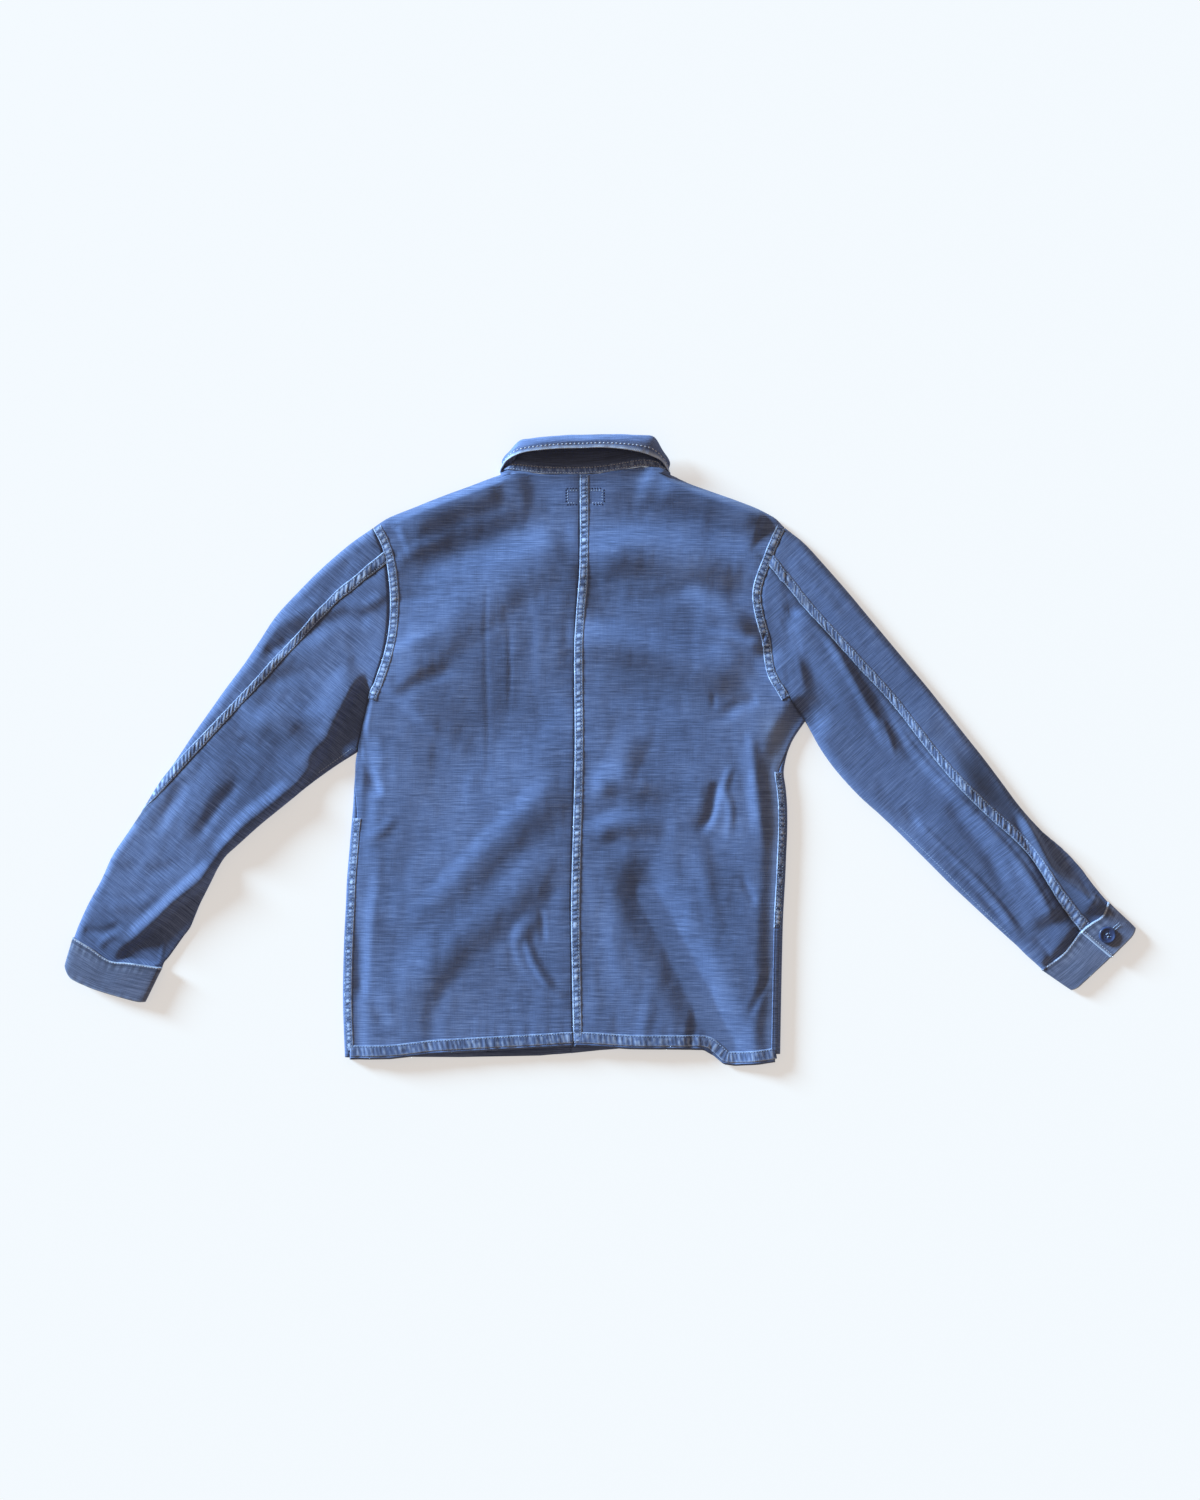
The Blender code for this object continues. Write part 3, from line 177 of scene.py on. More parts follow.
# Finer folds and creases. Columns as in FOLDS.
CREASES = [
    # broad rises and hollows of the two halves
    (5.8, 130, 62, 0.1, 0.05, 577, 545, 520, 578, 455, 622, 384, 694),
    (-3.2, 28, 36, 0.2, 0.15, 572, 552, 510, 588, 440, 645, 388, 692),
    (-1.5, 34, 20, 0.25, 0.3, 572, 768, 500, 838, 400, 940),
    (-1.4, 30, 34, 0.25, 0.3, 574, 838, 505, 902, 440, 955, 390, 1020),
    (4.6, 54, 24, 0.1, 0.05, 530, 478, 455, 498, 392, 523),
    (3.2, 70, 58, 0.2, 0.1, 577, 762, 500, 834, 392, 938),
    (2.2, 64, 54, 0.25, 0.1, 574, 846, 505, 909, 440, 964, 384, 1026),
    (2.4, 34, 10, 0.3, 0.3, 362, 800, 362, 880, 362, 960),
    (7.0, 14, 50, 0.1, 0.05, 640, 470, 700, 486, 770, 514),
    (7.0, 40, 38, 0.3, 0.4, 556, 556, 600, 553, 650, 558, 700, 574, 740, 594),
    (8.0, 28, 30, 0.25, 0.3, 562, 634, 620, 643, 665, 656, 710, 678, 745, 696),
    (-2.8, 22, 26, 0.3, 0.35, 588, 648, 650, 660, 712, 664),
    (4.2, 18, 17, 0.25, 0.3, 680, 592, 716, 606, 756, 634),
    (2.4, 34, 30, 0.3, 0.35, 566, 700, 604, 738, 640, 776),
    (-7.6, 36, 42, 0.2, 0.0, 628, 850, 672, 935, 722, 1036, 732, 1058),
    (3.0, 28, 30, 0.3, 0.0, 612, 862, 660, 940, 716, 1050),
    (-2.6, 24, 26, 0.3, 0.25, 640, 850, 705, 930, 752, 1030),
    (1.6, 40, 30, 0.3, 0.2, 686, 850, 736, 930, 776, 1030),
    (1.8, 26, 26, 0.3, 0.3, 582, 800, 615, 794, 650, 800),
    (1.4, 20, 22, 0.3, 0.3, 572, 838, 604, 830, 640, 832),
    # the sleeves' broad forms
    (-7.2, 30, 14, 0.35, 0.3, 322, 740, 345, 700, 366, 672),
    (-3.4, 22, 20, 0.3, 0.35, 232, 752, 200, 800, 160, 850),
    (2.6, 44, 14, 0.3, 0.3, 338, 596, 296, 618, 262, 646, 236, 672),
    (2.6, 22, 15, 0.25, 0.25, 230, 698, 266, 716, 306, 736),
    (-5.0, 34, 30, 0.3, 0.25, 905, 815, 950, 855, 1005, 915),
    (3.6, 20, 20, 0.3, 0.2, 985, 822, 1026, 873, 1064, 936),
    (6.2, 26, 36, 0.3, 0.08, 930, 738, 982, 802, 1024, 862, 1056, 925),
    (2.8, 24, 16, 0.25, 0.3, 826, 636, 866, 700, 908, 765),
    (-3.0, 26, 12, 0.2, 0.15, 222, 858, 170, 905, 128, 944),
    (2.0, 24, 24, 0.3, 0.3, 640, 720, 625, 760, 612, 790),
    (-2.4, 60, 60, 0.2, 0.2, 560, 690, 500, 730, 420, 790),
    (2.2, 40, 44, 0.2, 0.3, 770, 600, 735, 640, 700, 700),
    (-2.0, 30, 34, 0.2, 0.3, 770, 900, 735, 880, 700, 800),
    (-0.5, 4, 5, 0.2, 0.3, 488, 566, 486, 640, 488, 720, 487, 802),
    (-0.6, 4, 4, 0.3, 0.3, 509, 618, 510, 680, 508, 722),
    (-1.2, 5, 7, 0.3, 0.3, 541, 905, 543, 925, 544, 946),
    (-2.0, 7, 10, 0.15, 0.4, 519, 936, 530, 966, 545, 989, 567, 1006),
    (1.4, 9, 6, 0.2, 0.4, 523, 936, 535, 966, 550, 986, 570, 1001),
    (0.6, 8, 5, 0.15, 0.4, 746, 726, 753, 752, 755, 792, 760, 828, 765, 860),
    (-0.7, 6, 6, 0.2, 0.4, 741, 728, 747, 755, 749, 795),
    (1.2, 12, 14, 0.3, 0.3, 716, 780, 708, 814, 696, 836),
    (1.4, 7, 6, 0.2, 0.4, 733, 762, 724, 787, 730, 810, 728, 848),
    (-1.8, 7, 9, 0.1, 0.4, 717, 780, 711, 814, 697, 836),
    (-0.9, 5, 6, 0.3, 0.3, 713, 690, 714, 712),
    (-1.3, 7, 7, 0.3, 0.3, 740, 870, 748, 890, 756, 908),
    (-1.3, 6, 8, 0.2, 0.3, 774, 962, 757, 1000, 747, 1020),
    (-1.0, 14, 18, 0.3, 0.3, 600, 590, 640, 600, 690, 592),
    (-1.4, 12, 12, 0.2, 0.3, 700, 640, 740, 652, 768, 680),
    (-1.3, 18, 18, 0.3, 0.4, 600, 690, 650, 700, 700, 722),
    (-1.4, 12, 14, 0.1, 0.4, 395, 700, 430, 676, 470, 668),
    (1.2, 10, 14, 0.1, 0.4, 385, 660, 420, 640, 452, 634),
    (-1.2, 12, 12, 0.1, 0.4, 393, 600, 425, 596, 455, 580),
    (1.0, 10, 12, 0.1, 0.4, 398, 560, 425, 545, 455, 540),
    (1.2, 10, 10, 0.1, 0.4, 360, 840, 380, 832, 400, 812),
    (-1.2, 12, 12, 0.1, 0.3, 352, 980, 372, 1000, 392, 1030),
    (1.0, 16, 14, 0.3, 0.3, 610, 905, 618, 960, 640, 1010),
    (1.0, 12, 14, 0.3, 0.3, 700, 830, 705, 880, 722, 940),
    (-1.4, 10, 12, 0.1, 0.4, 758, 700, 738, 706, 716, 724),
    (-1.8, 9, 12, 0.05, 0.4, 766, 640, 740, 634, 706, 620),
    (-1.6, 12, 9, 0.0, 0.4, 690, 1046, 700, 1012, 716, 976),
    (-0.9, 16, 16, 0.0, 0.4, 430, 1046, 440, 1000, 470, 965),
    (0.8, 12, 12, 0.0, 0.4, 640, 1040, 648, 1010, 650, 985),
    # left sleeve
    (1.6, 12, 14, 0.3, 0.3, 262, 706, 296, 716, 330, 716),
    (-1.4, 14, 14, 0.3, 0.3, 255, 690, 290, 676, 330, 672),
    (-1.8, 10, 12, 0.2, 0.3, 230, 738, 262, 748, 300, 772),
    (-2.2, 12, 16, 0.3, 0.1, 300, 640, 335, 618, 372, 620),
    (1.8, 10, 10, 0.3, 0.1, 345, 600, 365, 606, 384, 596),
    (-1.2, 8, 10, 0.2, 0.1, 345, 560, 362, 575, 382, 575),
    (-2.0, 10, 12, 0.3, 0.3, 262, 652, 276, 650, 292, 640),
    (-1.6, 12, 12, 0.2, 0.3, 186, 776, 170, 806, 150, 838),
    (-1.6, 10, 12, 0.2, 0.3, 245, 780, 222, 802, 192, 846),
    (-1.2, 12, 14, 0.2, 0.3, 120, 862, 150, 872, 186, 862),
    (1.2, 12, 12, 0.2, 0.3, 105, 905, 135, 905, 165, 890),
    (-1.6, 8, 9, 0.1, 0.3, 82, 930, 104, 932, 126, 922),
    (1.3, 6, 7, 0.1, 0.4, 98, 948, 108, 938, 120, 934),
    (1.6, 6, 6, 0.2, 0.0, 166, 912, 163, 938, 160, 966),
    (-1.2, 6, 6, 0.2, 0.0, 150, 936, 148, 950, 150, 965),
    # right sleeve
    (3.0, 6, 9, 0.05, 0.3, 793, 611, 822, 632, 844, 664, 864, 700, 877, 722, 893, 758),
    (-4.2, 16, 30, 0.25, 0.25, 790, 640, 800, 690, 816, 735),
    (3.2, 20, 20, 0.3, 0.35, 858, 690, 895, 745, 935, 790),
    (1.2, 5, 5, 0.1, 0.4, 786, 612, 796, 650, 806, 700),
    (1.6, 4, 5, 0.15, 0.4, 880, 716, 889, 738, 895, 760),
    (3.6, 26, 12, 0.15, 0.05, 1018, 806, 1036, 838, 1050, 869, 1070, 886, 1098, 907),
    (2.4, 7, 16, 0.15, 0.05, 1024, 812, 1040, 842, 1054, 868, 1074, 884, 1100, 903),
    (-2.2, 8, 8, 0.15, 0.05, 1012, 815, 1034, 858, 1052, 892, 1078, 926),
    (-1.4, 8, 9, 0.05, 0.4, 786, 612, 812, 606, 842, 622),
    (-1.6, 6, 8, 0.05, 0.4, 786, 616, 795, 640, 800, 672),
    (-2.0, 8, 12, 0.2, 0.3, 840, 655, 870, 690, 905, 745, 935, 776),
    (2.6, 6, 9, 0.15, 0.2, 888, 718, 933, 773, 981, 821, 1026, 873, 1062, 935),
    (2.8, 6, 9, 0.1, 0.2, 912, 817, 947, 852, 988, 893, 1026, 941),
    (-1.4, 8, 8, 0.1, 0.2, 900, 805, 935, 842, 975, 886, 1015, 935),
    (-2.6, 13, 14, 0.2, 0.3, 945, 800, 985, 850, 1012, 900),
    (-1.6, 7, 7, 0.1, 0.1, 1060, 850, 1078, 872, 1092, 900),
    (1.2, 5, 5, 0.1, 0.1, 1074, 866, 1088, 884, 1098, 905),
    (-1.3, 6, 7, 0.3, 0.0, 1030, 935, 1046, 950, 1052, 964),
    (-1.0, 9, 9, 0.2, 0.3, 960, 730, 990, 775, 1006, 800),
    (-1.0, 10, 12, 0.2, 0.3, 860, 596, 900, 650, 940, 705),
    (1.2, 9, 10, 0.1, 0.3, 790, 560, 812, 580, 845, 622)]
# Painted shade (below zero) and painted light (above zero) along a line, where the folds alone
# don't give the dark and the light. Columns: amount, reach, path.
PAINTED_SHADE_AND_LIGHT = [
    (-0.46, 15, 975, 768, 1010, 812, 1046, 868, 1084, 925),
    (-0.18, 12, 905, 700, 950, 752, 990, 800), (-0.16, 12, 846, 672, 884, 722, 922, 768),
    (-0.12, 9, 226, 838, 165, 893, 120, 930), (-0.14, 22, 606, 588, 650, 590, 696, 604),
    (-0.20, 17, 612, 668, 655, 682, 700, 700), (-0.16, 18, 640, 492, 690, 505, 745, 524),
    (-0.16, 18, 616, 868, 660, 950, 700, 1032), (-0.10, 20, 270, 640, 296, 668, 262, 690),
    (-0.14, 8, 252, 724, 300, 746), (0.20, 13, 775, 730, 782, 850, 780, 1040)]

# Places where the upper layer has folded away and the lower one shows, as low ground.
# Columns: v, u of its left side, u of its right side.
LOW_ARMPIT = [(672, 366, 367), (694, 354, 369.5), (726, 339, 364), (757, 322, 366),
              (790, 296, 380)]
LOW_CUFF_EDGE = [(222, 860), (200, 886), (177, 904), (147, 933), (126, 948), (116, 962),
                 (112, 975)]
LOW_BULGE_EDGE = [(1016, 800), (1036, 838), (1052, 866), (1072, 884), (1100, 905)]

# Cuffs. Corners: seam end at the lower edge, seam end at the top edge, free end low, free end
# top. bow bends the free edge, round cuts its corners.
CUFF = {LEFT: dict(low=(160.5, 970), top=(72.8, 940), low_end=(144, 1003.2), top_end=(62.5, 974),
                   bow=[(0.0, 0), (0.15, 1.5), (0.4, 3.0), (0.6, 3.6), (0.8, 2.6), (1.0, 0)],
                   round=(1.6, 8.0)),
        RIGHT: dict(low=(1044, 971), top=(1111.5, 905), low_end=(1074.5, 991.6),
                    top_end=(1138.5, 930.8), bow=[(0.0, 0), (0.5, 0.8), (1.0, 0)],
                    round=(2.4, 3.0))}
# their paths: share of the way from the lower edge to the top edge, height in mm
CUFF_PATH = {
    LEFT: [(0.47, 4.3), (0.3, 4.3), (0.15, 4.2), (0.05, 4.3), (0.02, 4.8), (0.0, 6.6),
           (0.012, 8.6), (0.05, 9.8), (0.2, 10.4), (0.32, 10.5), (0.45, 10.6), (0.58, 10.5),
           (0.7, 10.4), (0.82, 10.2), (0.93, 9.9), (0.982, 9.0), (1.0, 7.8), (0.995, 6.8),
           (0.96, 6.6), (0.8, 6.7), (0.62, 6.7), (0.45, 6.7), (0.3, 6.7), (0.2, 6.7)],
    RIGHT: [(0.56, 7.9), (0.65, 8.0), (0.75, 8.0), (0.85, 7.8), (0.95, 7.0), (0.985, 5.6),
            (1.0, 4.2), (0.992, 2.4), (0.972, 1.3), (0.93, 1.0), (0.82, 1.0), (0.7, 1.0),
            (0.58, 1.0), (0.45, 1.0), (0.32, 1.0), (0.2, 1.0), (0.05, 1.0), (0.018, 1.5),
            (0.0, 3.2), (0.015, 4.6), (0.05, 5.4), (0.2, 5.6), (0.32, 5.6), (0.44, 5.6),
            (0.56, 5.5), (0.68, 5.4), (0.78, 5.35), (0.86, 5.3)]}

# Collar stations from the middle of the back to the front, on the left. Columns, each as
# u, v, z: neck edge, end of the stand, the roll's outermost place, its crown, free edge.
COLLAR = [
    (584.5, 474.8, 0, 584.5, 446.5, 12.0, 584.5, 437, 20.0, 584.5, 442.5, 28.5, 584.5, 450.5, 27.5),
    (566, 475.2, 0, 566, 447, 12.0, 566, 437.6, 20.0, 566, 443, 28.5, 567, 450.8, 27.5),
    (548, 474.9, 0, 548, 447.8, 12.0, 547, 439.2, 20.0, 548, 444.5, 28.0, 549, 451.6, 27.0),
    (530, 473.3, 0, 531, 449.5, 11.8, 527, 441.6, 19.0, 528, 446.8, 26.5, 527, 454.0, 25.5),
    (517, 471.6, 0, 521, 453.0, 10.8, 514, 446.6, 17.0, 513, 451.5, 23.0, 512.5, 458.2, 22.0),
    (507.5, 470.8, 0, 516, 458.5, 8.6, 506.8, 453.0, 12.0, 503.5, 456.5, 15.5, 502.0, 462.5, 15.0),
    (502.4, 471.0, 5.4, 516, 465.5, 6.6, 505.0, 457.5, 7.4, 499.0, 461.5, 7.8, 496.4, 468.5, 7.2),
    (502.2, 478.0, 3.6, 519, 473.0, 5.0, 514.5, 471.0, 1.8, 503, 471.5, 1.0, 492.0, 474.0, 0.9),
    (505.5, 494.0, 2.9, 526, 480.0, 3.4, 527.5, 475.0, 2.1, 515.5, 481.0, 0.8, 489.5, 496.0, 0.8),
    (520.5, 518.6, 2.9, 541, 493.0, 3.2, 543.5, 486.5, 2.0, 535, 496.0, 0.8, 508, 533.0, 0.8),
    (545.5, 536.6, 2.9, 558, 503.5, 3.2, 559, 496.0, 1.9, 554.5, 506.0, 0.8, 529, 559.0, 0.8),
    (565, 542.2, 2.9, 571, 508.5, 3.2, 570.5, 500.5, 1.9, 568.5, 511.0, 0.8, 547, 577.0, 0.8),
    (583.6, 544.6, 2.9, 583.6, 511.0, 3.2, 583.6, 503.0, 1.9, 582.2, 513.0, 0.8, 563, 589.0, 0.8)]
# Its own outline, which is not the same on both sides: station from the middle (left is
# negative): {roll 2, crown 3, free edge 4: (u, v)}
COLLAR_FIT = {
    -7: {3: (505.0, 474.5), 4: (500.6, 477.6)},
    7: {3: (666.5, 475.0), 4: (672.4, 478.8)},
    -6: {2: (505.5, 460.0), 3: (503.0, 464.6), 4: (500.3, 471.0)},
    -5: {2: (513.2, 450.6), 3: (509.5, 455.6), 4: (506.5, 462.0)},
    -4: {2: (520.8, 442.6), 3: (518.5, 448.6), 4: (515.5, 457.2)},
    -3: {2: (530.5, 440.8), 3: (531.0, 446.4)},
    1: {2: (602.5, 436.8), 3: (602.5, 442.0), 4: (602.0, 450.0)},
    2: {2: (622.5, 436.6), 3: (621.5, 442.3), 4: (620.5, 451.2)},
    3: {2: (642.0, 437.4), 3: (641.0, 443.6), 4: (638.5, 454.0)},
    4: {2: (653.5, 439.0), 3: (652.5, 446.0), 4: (651.0, 457.5)},
    5: {2: (661.0, 451.0), 3: (661.5, 455.0), 4: (661.5, 462.0)},
    6: {2: (667.0, 462.5), 3: (668.0, 465.5), 4: (668.5, 471.5)}}


# ---------------------------------------------------------------- small helpers
def ramp(lo, hi, x):
    return np.clip((np.asarray(x, float) - lo) / (hi - lo), 0.0, 1.0)


def smooth(lo, hi, x):
    t = ramp(lo, hi, x)
    return t * t * (3 - 2 * t)


def quarter(d, reach):
    """The rise of a quarter circle, from 0 at d = 0 to 1 from the reach on."""
    return np.sqrt(1 - (1 - np.minimum(d / reach, 1.0)) ** 2)


def gauss(d, reach):
    """A bell, 1 at d = 0 and 0.37 at the reach."""
    return np.exp(-(d / reach) ** 2)


def curve(points, per=8):
    """A smooth curve through the points, as a dense polyline."""
    p = np.array(points, float)
    p = np.vstack([2 * p[0] - p[1], p, 2 * p[-1] - p[-2]])
    out = []
    for a, b, c, d in zip(p, p[1:], p[2:], p[3:]):
        for t in np.arange(per) / per:
            out.append(0.5 * (2 * b + (c - a) * t + (2 * a - 5 * b + 4 * c - d) * t * t
                              + (3 * b - a - 3 * c + d) * t ** 3))
    return np.array(out + [p[-2]])


def paths(table, first):
    """The rows with their flat u, v lists, from the given column on, as curves in front."""
    return [(curve(np.reshape(row[first:], (-1, 2)), 6),) + row[:first] for row in table]


def near(path, u, v):
    """Distance to a polyline, its side (+ on the right hand) and the share along it."""
    u, v = np.asarray(u, float), np.asarray(v, float)
    best = np.full(u.shape, 1e9)
    side, share = np.zeros(u.shape), np.zeros(u.shape)
    run = run_of(path)
    for i, ((au, av), (bu, bv)) in enumerate(zip(path, path[1:])):
        du, dv = bu - au, bv - av
        t = np.clip(((u - au) * du + (v - av) * dv) / (du * du + dv * dv), 0, 1)
        d = np.hypot(u - au - t * du, v - av - t * dv)
        take = d < best
        best = np.where(take, d, best)
        side = np.where(take, np.sign(du * (v - av) - dv * (u - au)), side)
        share = np.where(take, (run[i] + t * (run[i + 1] - run[i])) / run[-1], share)
    return best, side, share


def around(path, u, v, margin):
    """Which places lie within a margin of the path's box."""
    lo, hi = path.min(0) - margin, path.max(0) + margin
    return (u > lo[0]) & (u < hi[0]) & (v > lo[1]) & (v < hi[1])


def swell(path, u, v, left, right, fade_in, fade_out, power=1.0):
    """A rounded rise along a path: 1 on it, 0 from its reach on, faded at its ends."""
    d, side, share = near(path, u, v)
    reach = np.where(side > 0, right, left)
    bell = (0.5 + 0.5 * np.cos(np.pi * np.minimum(d / reach, 1.0))) ** power
    if fade_in:
        bell = bell * smooth(0, fade_in, share)
    if fade_out:
        bell = bell * smooth(0, fade_out, 1 - share)
    return bell


def at(table, x, column=0, value=1):
    """What a table says for x in one column, read between its rows in another."""
    t = np.array(table, float)
    order = np.argsort(t[:, column])
    return np.interp(x, t[order, column], t[order, value])


def at_v(table, v):
    return at(table, v, 1, 0)


def run_of(path):
    """The length of a path up to each of its points."""
    seg = np.linalg.norm(path[1:] - path[:-1], axis=1)
    return np.concatenate([[0], np.cumsum(seg)])


def pick(path, run, s):
    """The places on a path where its run is s."""
    return np.stack([np.interp(s, run, column) for column in path.T], -1)


def resample(path, step):
    """The path with points about a step apart."""
    r = run_of(path)
    return pick(path, r, np.linspace(0, r[-1], max(2, int(round(r[-1] / step)) + 1)))


def unit(vector):
    return vector / max(np.linalg.norm(vector), 1e-9)


EDGES = [curve(path, 4) for path in (
    SHOULDER[LEFT] + [r[:2] for r in SLEEVE[LEFT][1:]], [r[2:] for r in SLEEVE[LEFT]],
    SHOULDER[RIGHT] + [r[:2] for r in SLEEVE[RIGHT][1:]], [r[2:] for r in SLEEVE[RIGHT]])]
SIDES = [curve(SIDE[left], 4) for left in (LEFT, RIGHT)]
FOLD_PATHS, CREASE_PATHS, PAINTED_SHADE_AND_LIGHT_PATHS = paths(FOLDS, 5), paths(CREASES, 5), paths(PAINTED_SHADE_AND_LIGHT, 2)
# path, height of the low ground, its soft edge, fade at its start, where it is
LOW_EDGES = [(curve(LOW_CUFF_EDGE, 4), 4.6, (-4, 7), 0.3, (0, 260)),
             (curve(LOW_BULGE_EDGE, 4), 5.6, (-3, 6), 0.25, (980, 1200))]
SEAM_LINES = [(curve(path, 6), 11 + k) for k, path in enumerate(
    (CENTRE_BACK, ARMHOLE[LEFT], ARMHOLE[RIGHT], SLEEVE_SEAM[LEFT], SLEEVE_SEAM[RIGHT]))]


# ---------------------------------------------------------------- surfaces
def nearest(curves, u, v):
    """Distance in mm to the nearest of the curves."""
    return np.min([near(path, u, v)[0] for path in curves], axis=0) * UNIT


def collar_lift(u, v):
    """How far the collar's points and its fall raise what lies on them."""
    return (COLLAR_LIFT * (1 - ramp(592, 612, v)) * smooth(462, 486, u)
            * (1 - smooth(684, 708, u)))


def curl(edge):
    """How the lower layer leaves the surface at the silhouette."""
    return (EDGE_MID - FLOOR_MID) * (1 - quarter(edge, CURL))


def front_mid(u, v, outer):
    """Middle of a front panel; the outer one lies nearest the surface."""
    u, v = np.asarray(u, float), np.asarray(v, float)
    run = ramp(546, 592, v)
    if outer:
        lift = PLACKET_LIFT * smooth(548, 566, u) * run
    else:
        lift = PLACKET_LIFT * (1 - smooth(612, 634, u)) * run
        lift = lift + OVERLAP_LIFT * (1 - smooth(610, 630, u))
    return FLOOR_MID + lift + collar_lift(u, v) + curl(nearest(EDGES, u, v))


def upper_mid(u, v):
    """Middle of the upper layer, over the back and both sleeves."""
    u, v = np.asarray(u, float), np.asarray(v, float)
    h = np.full(u.shape, BASE)
    for path, height, *form in FOLD_PATHS:
        h = h + height * swell(path, u, v, *form)
    # the armpit's low ground
    inside = np.minimum(u - at(LOW_ARMPIT, v, 0, 1), at(LOW_ARMPIT, v, 0, 2) - u)
    sunk = smooth(-5, 5, inside) * smooth(672, 690, v) * (1 - smooth(785, 800, v))
    h = h + (4.2 - h) * sunk * (u < 420)
    # beside the left cuff, and the lower layer's bulge above the right cuff
    for path, level, soft, fade, (lo, hi) in LOW_EDGES:
        d, side, share = near(path, u, v)
        sunk = smooth(*soft, np.where(side < 0, d, -d)) * smooth(0.02, fade, share)
        h = h + (level - h) * sunk * (u > lo) * (u < hi)
    # both sleeves thin out towards their cuffs
    h = h - 2.6 * (1 - smooth(120, 230, u)) * (u < 300) - 2.2 * smooth(960, 1080, u)
    # over what lies between the layers
    lower = np.maximum(front_mid(u, v, True), front_mid(u, v, False)) + WALL / 2
    h = np.where((u > 480) & (u < 690), np.maximum(h, lower + GAP + WALL / 2 + 0.3), h)
    h = np.maximum(h, LOWEST)
    edge = EDGE_MID + collar_lift(u, v)
    rolled = edge + (h - edge) * quarter(nearest(EDGES, u, v), ROLL)
    s = nearest(SIDES, u, v)
    low = FLOOR_MID + SIDE_RADIUS + SIDE_RADIUS * quarter(s, SIDE_RADIUS)
    rise = low + (h - low) * smooth(SIDE_WRAP, SIDE_RAMP, s)
    return np.minimum(rolled, np.where(s < SIDE_RAMP, rise, rolled))


def side_share(v, left):
    """1 where the side seam lies on the back, 0 where it is at the fold."""
    return smooth(775, 825, v) if left else smooth(740, 778, v)


def hash2(i, j, seed):
    """A fixed value from -1 to 1 for each cell of a grid."""
    n = (i * 374761393 + j * 668265263 + seed * 1442695041) & 0xFFFFFFFF
    n = ((n ^ (n >> 13)) * 1274126177) & 0xFFFFFFFF
    return ((n ^ (n >> 16)) & 0xFFFF) / 65535.0 * 2 - 1


def noise(x, y, seed):
    """Smooth value noise, about -1 to 1, with a unit cell of 1."""
    xi, yi = np.floor(x).astype(np.int64), np.floor(y).astype(np.int64)
    fx, fy = x - xi, y - yi
    fx, fy = fx * fx * (3 - 2 * fx), fy * fy * (3 - 2 * fy)
    a, b = hash2(xi, yi, seed), hash2(xi + 1, yi, seed)
    c, d = hash2(xi, yi + 1, seed), hash2(xi + 1, yi + 1, seed)
    return (a * (1 - fx) + b * fx) * (1 - fy) + (c * (1 - fx) + d * fx) * fy


def uneven(s, wave, seed):
    """The strength of a line along its run s, about 0.35 to 1.15."""
    return 0.75 + 0.4 * noise(s / wave, s * 0, seed)


def ripple(s, wave, seed):
    """Uneven puckers along a seam; s in mm."""
    w = s / wave + 0.55 * noise(s / (wave * 2.3), s * 0 + seed, seed)
    strength = 0.75 + 0.35 * noise(s / (wave * 3.1), s * 0 + 7.7, seed + 9)
    return (0.6 * np.sin(2 * np.pi * w) + 0.4 * noise(s / (wave * 0.6), s * 0 + 3.3, seed + 5)) \
        * strength


def fine_extra(u, v):
    """Finer folds, soft wrinkles and the pull beside the seams, in mm."""
    h = np.zeros(u.shape)
    for path, height, *form in FOLD_PATHS:
        h = h + (AMP - 1) * height * swell(path, u, v, *form)
    for path, height, *form in CREASE_PATHS:
        m = around(path, u, v, max(form[:2]))
        if m.any():
            h[m] = h[m] + height * swell(path, u[m], v[m], *form, power=1.2)
    # soft wrinkles that run down the body and along the sleeves
    on_body = (u > 350) & (u < 785)
    a = np.where(u < 350, 2.15, 0.86)          # direction of the sleeves in plan
    along = np.where(on_body, v, u * np.cos(a) + v * np.sin(a))
    cross = np.where(on_body, u, -u * np.sin(a) + v * np.cos(a))
    bent = cross / 26 + 0.3 * noise(along / 60, cross / 60, 3)
    h = h + 0.70 * noise(bent, along / 60, 1)
    bent = cross / 11 + 0.4 * noise(along / 40, cross / 30, 4)
    h = h + 0.36 * noise(bent, along / 27, 2) + 0.16 * noise(cross / 5.5, along / 10, 6)
    for path, seed in SEAM_LINES:
        m = around(path, u, v, 30)
        d, _, share = near(path, u[m], v[m])
        pull = 0.5 + 0.5 * np.cos(np.pi * np.minimum(d / 20.0, 1.0))
        pucker = ripple(share * run_of(path)[-1] * UNIT, 13.0, seed)
        h[m] = h[m] + 0.42 * pucker * pull - 0.5 * gauss(d, 3.0)
    # the hem's pull
    d = np.abs(v - at(HEM_BACK, u))
    pull = 0.5 * (0.55 + 0.9 * noise(u / 33.0, u * 0, 22)) * ripple(u * UNIT, 14.0, 21)
    return h + np.where(on_body & (d < 40), pull * gauss(d, 22.0), 0)


def upper(u, v):
    """upper_mid with the finer folds, which fade out at the silhouettes."""
    u, v = np.asarray(u, float), np.asarray(v, float)
    h, sides, x = upper_mid(u, v), nearest(SIDES, u, v), fine_extra(u, v)
    fade = smooth(0.0, 11.0, nearest(EDGES, u, v)) * smooth(1.0, 26.0, sides)
    x = np.where(x < 0, x * smooth(3.8, 7.5, h), x)
    beside = smooth(740, 775, v) * ((u > 335) & (u < 795))      # fuller along the side seams
    h = h + 2.0 * beside * gauss(sides - 9.0, 6.5)
    return np.maximum(h + x * fade, np.minimum(h, 4.0))


def painted_shade_light_and_seam_dye(u, v):
    """Painted shade and painted light along lines, and dark beside each seam's joint: painted shade
    of the seam's groove together with less-faded dye.
    """
    w = np.zeros(np.shape(u))
    # painted shade and painted light along the listed lines
    for path, amount, reach in PAINTED_SHADE_AND_LIGHT_PATHS:
        m = around(path, u, v, 60)
        if m.any():
            w[m] = w[m] + amount * gauss(near(path, u[m], v[m])[0], reach)
    # dark beside each seam's joint: painted shade of the groove there, together with less-faded dye
    for path, _ in SEAM_LINES:
        d = near(path, u, v)[0]
        w = w - 0.55 * gauss(d, 2.0) - 0.10 * gauss(d, 9.0)
    return w


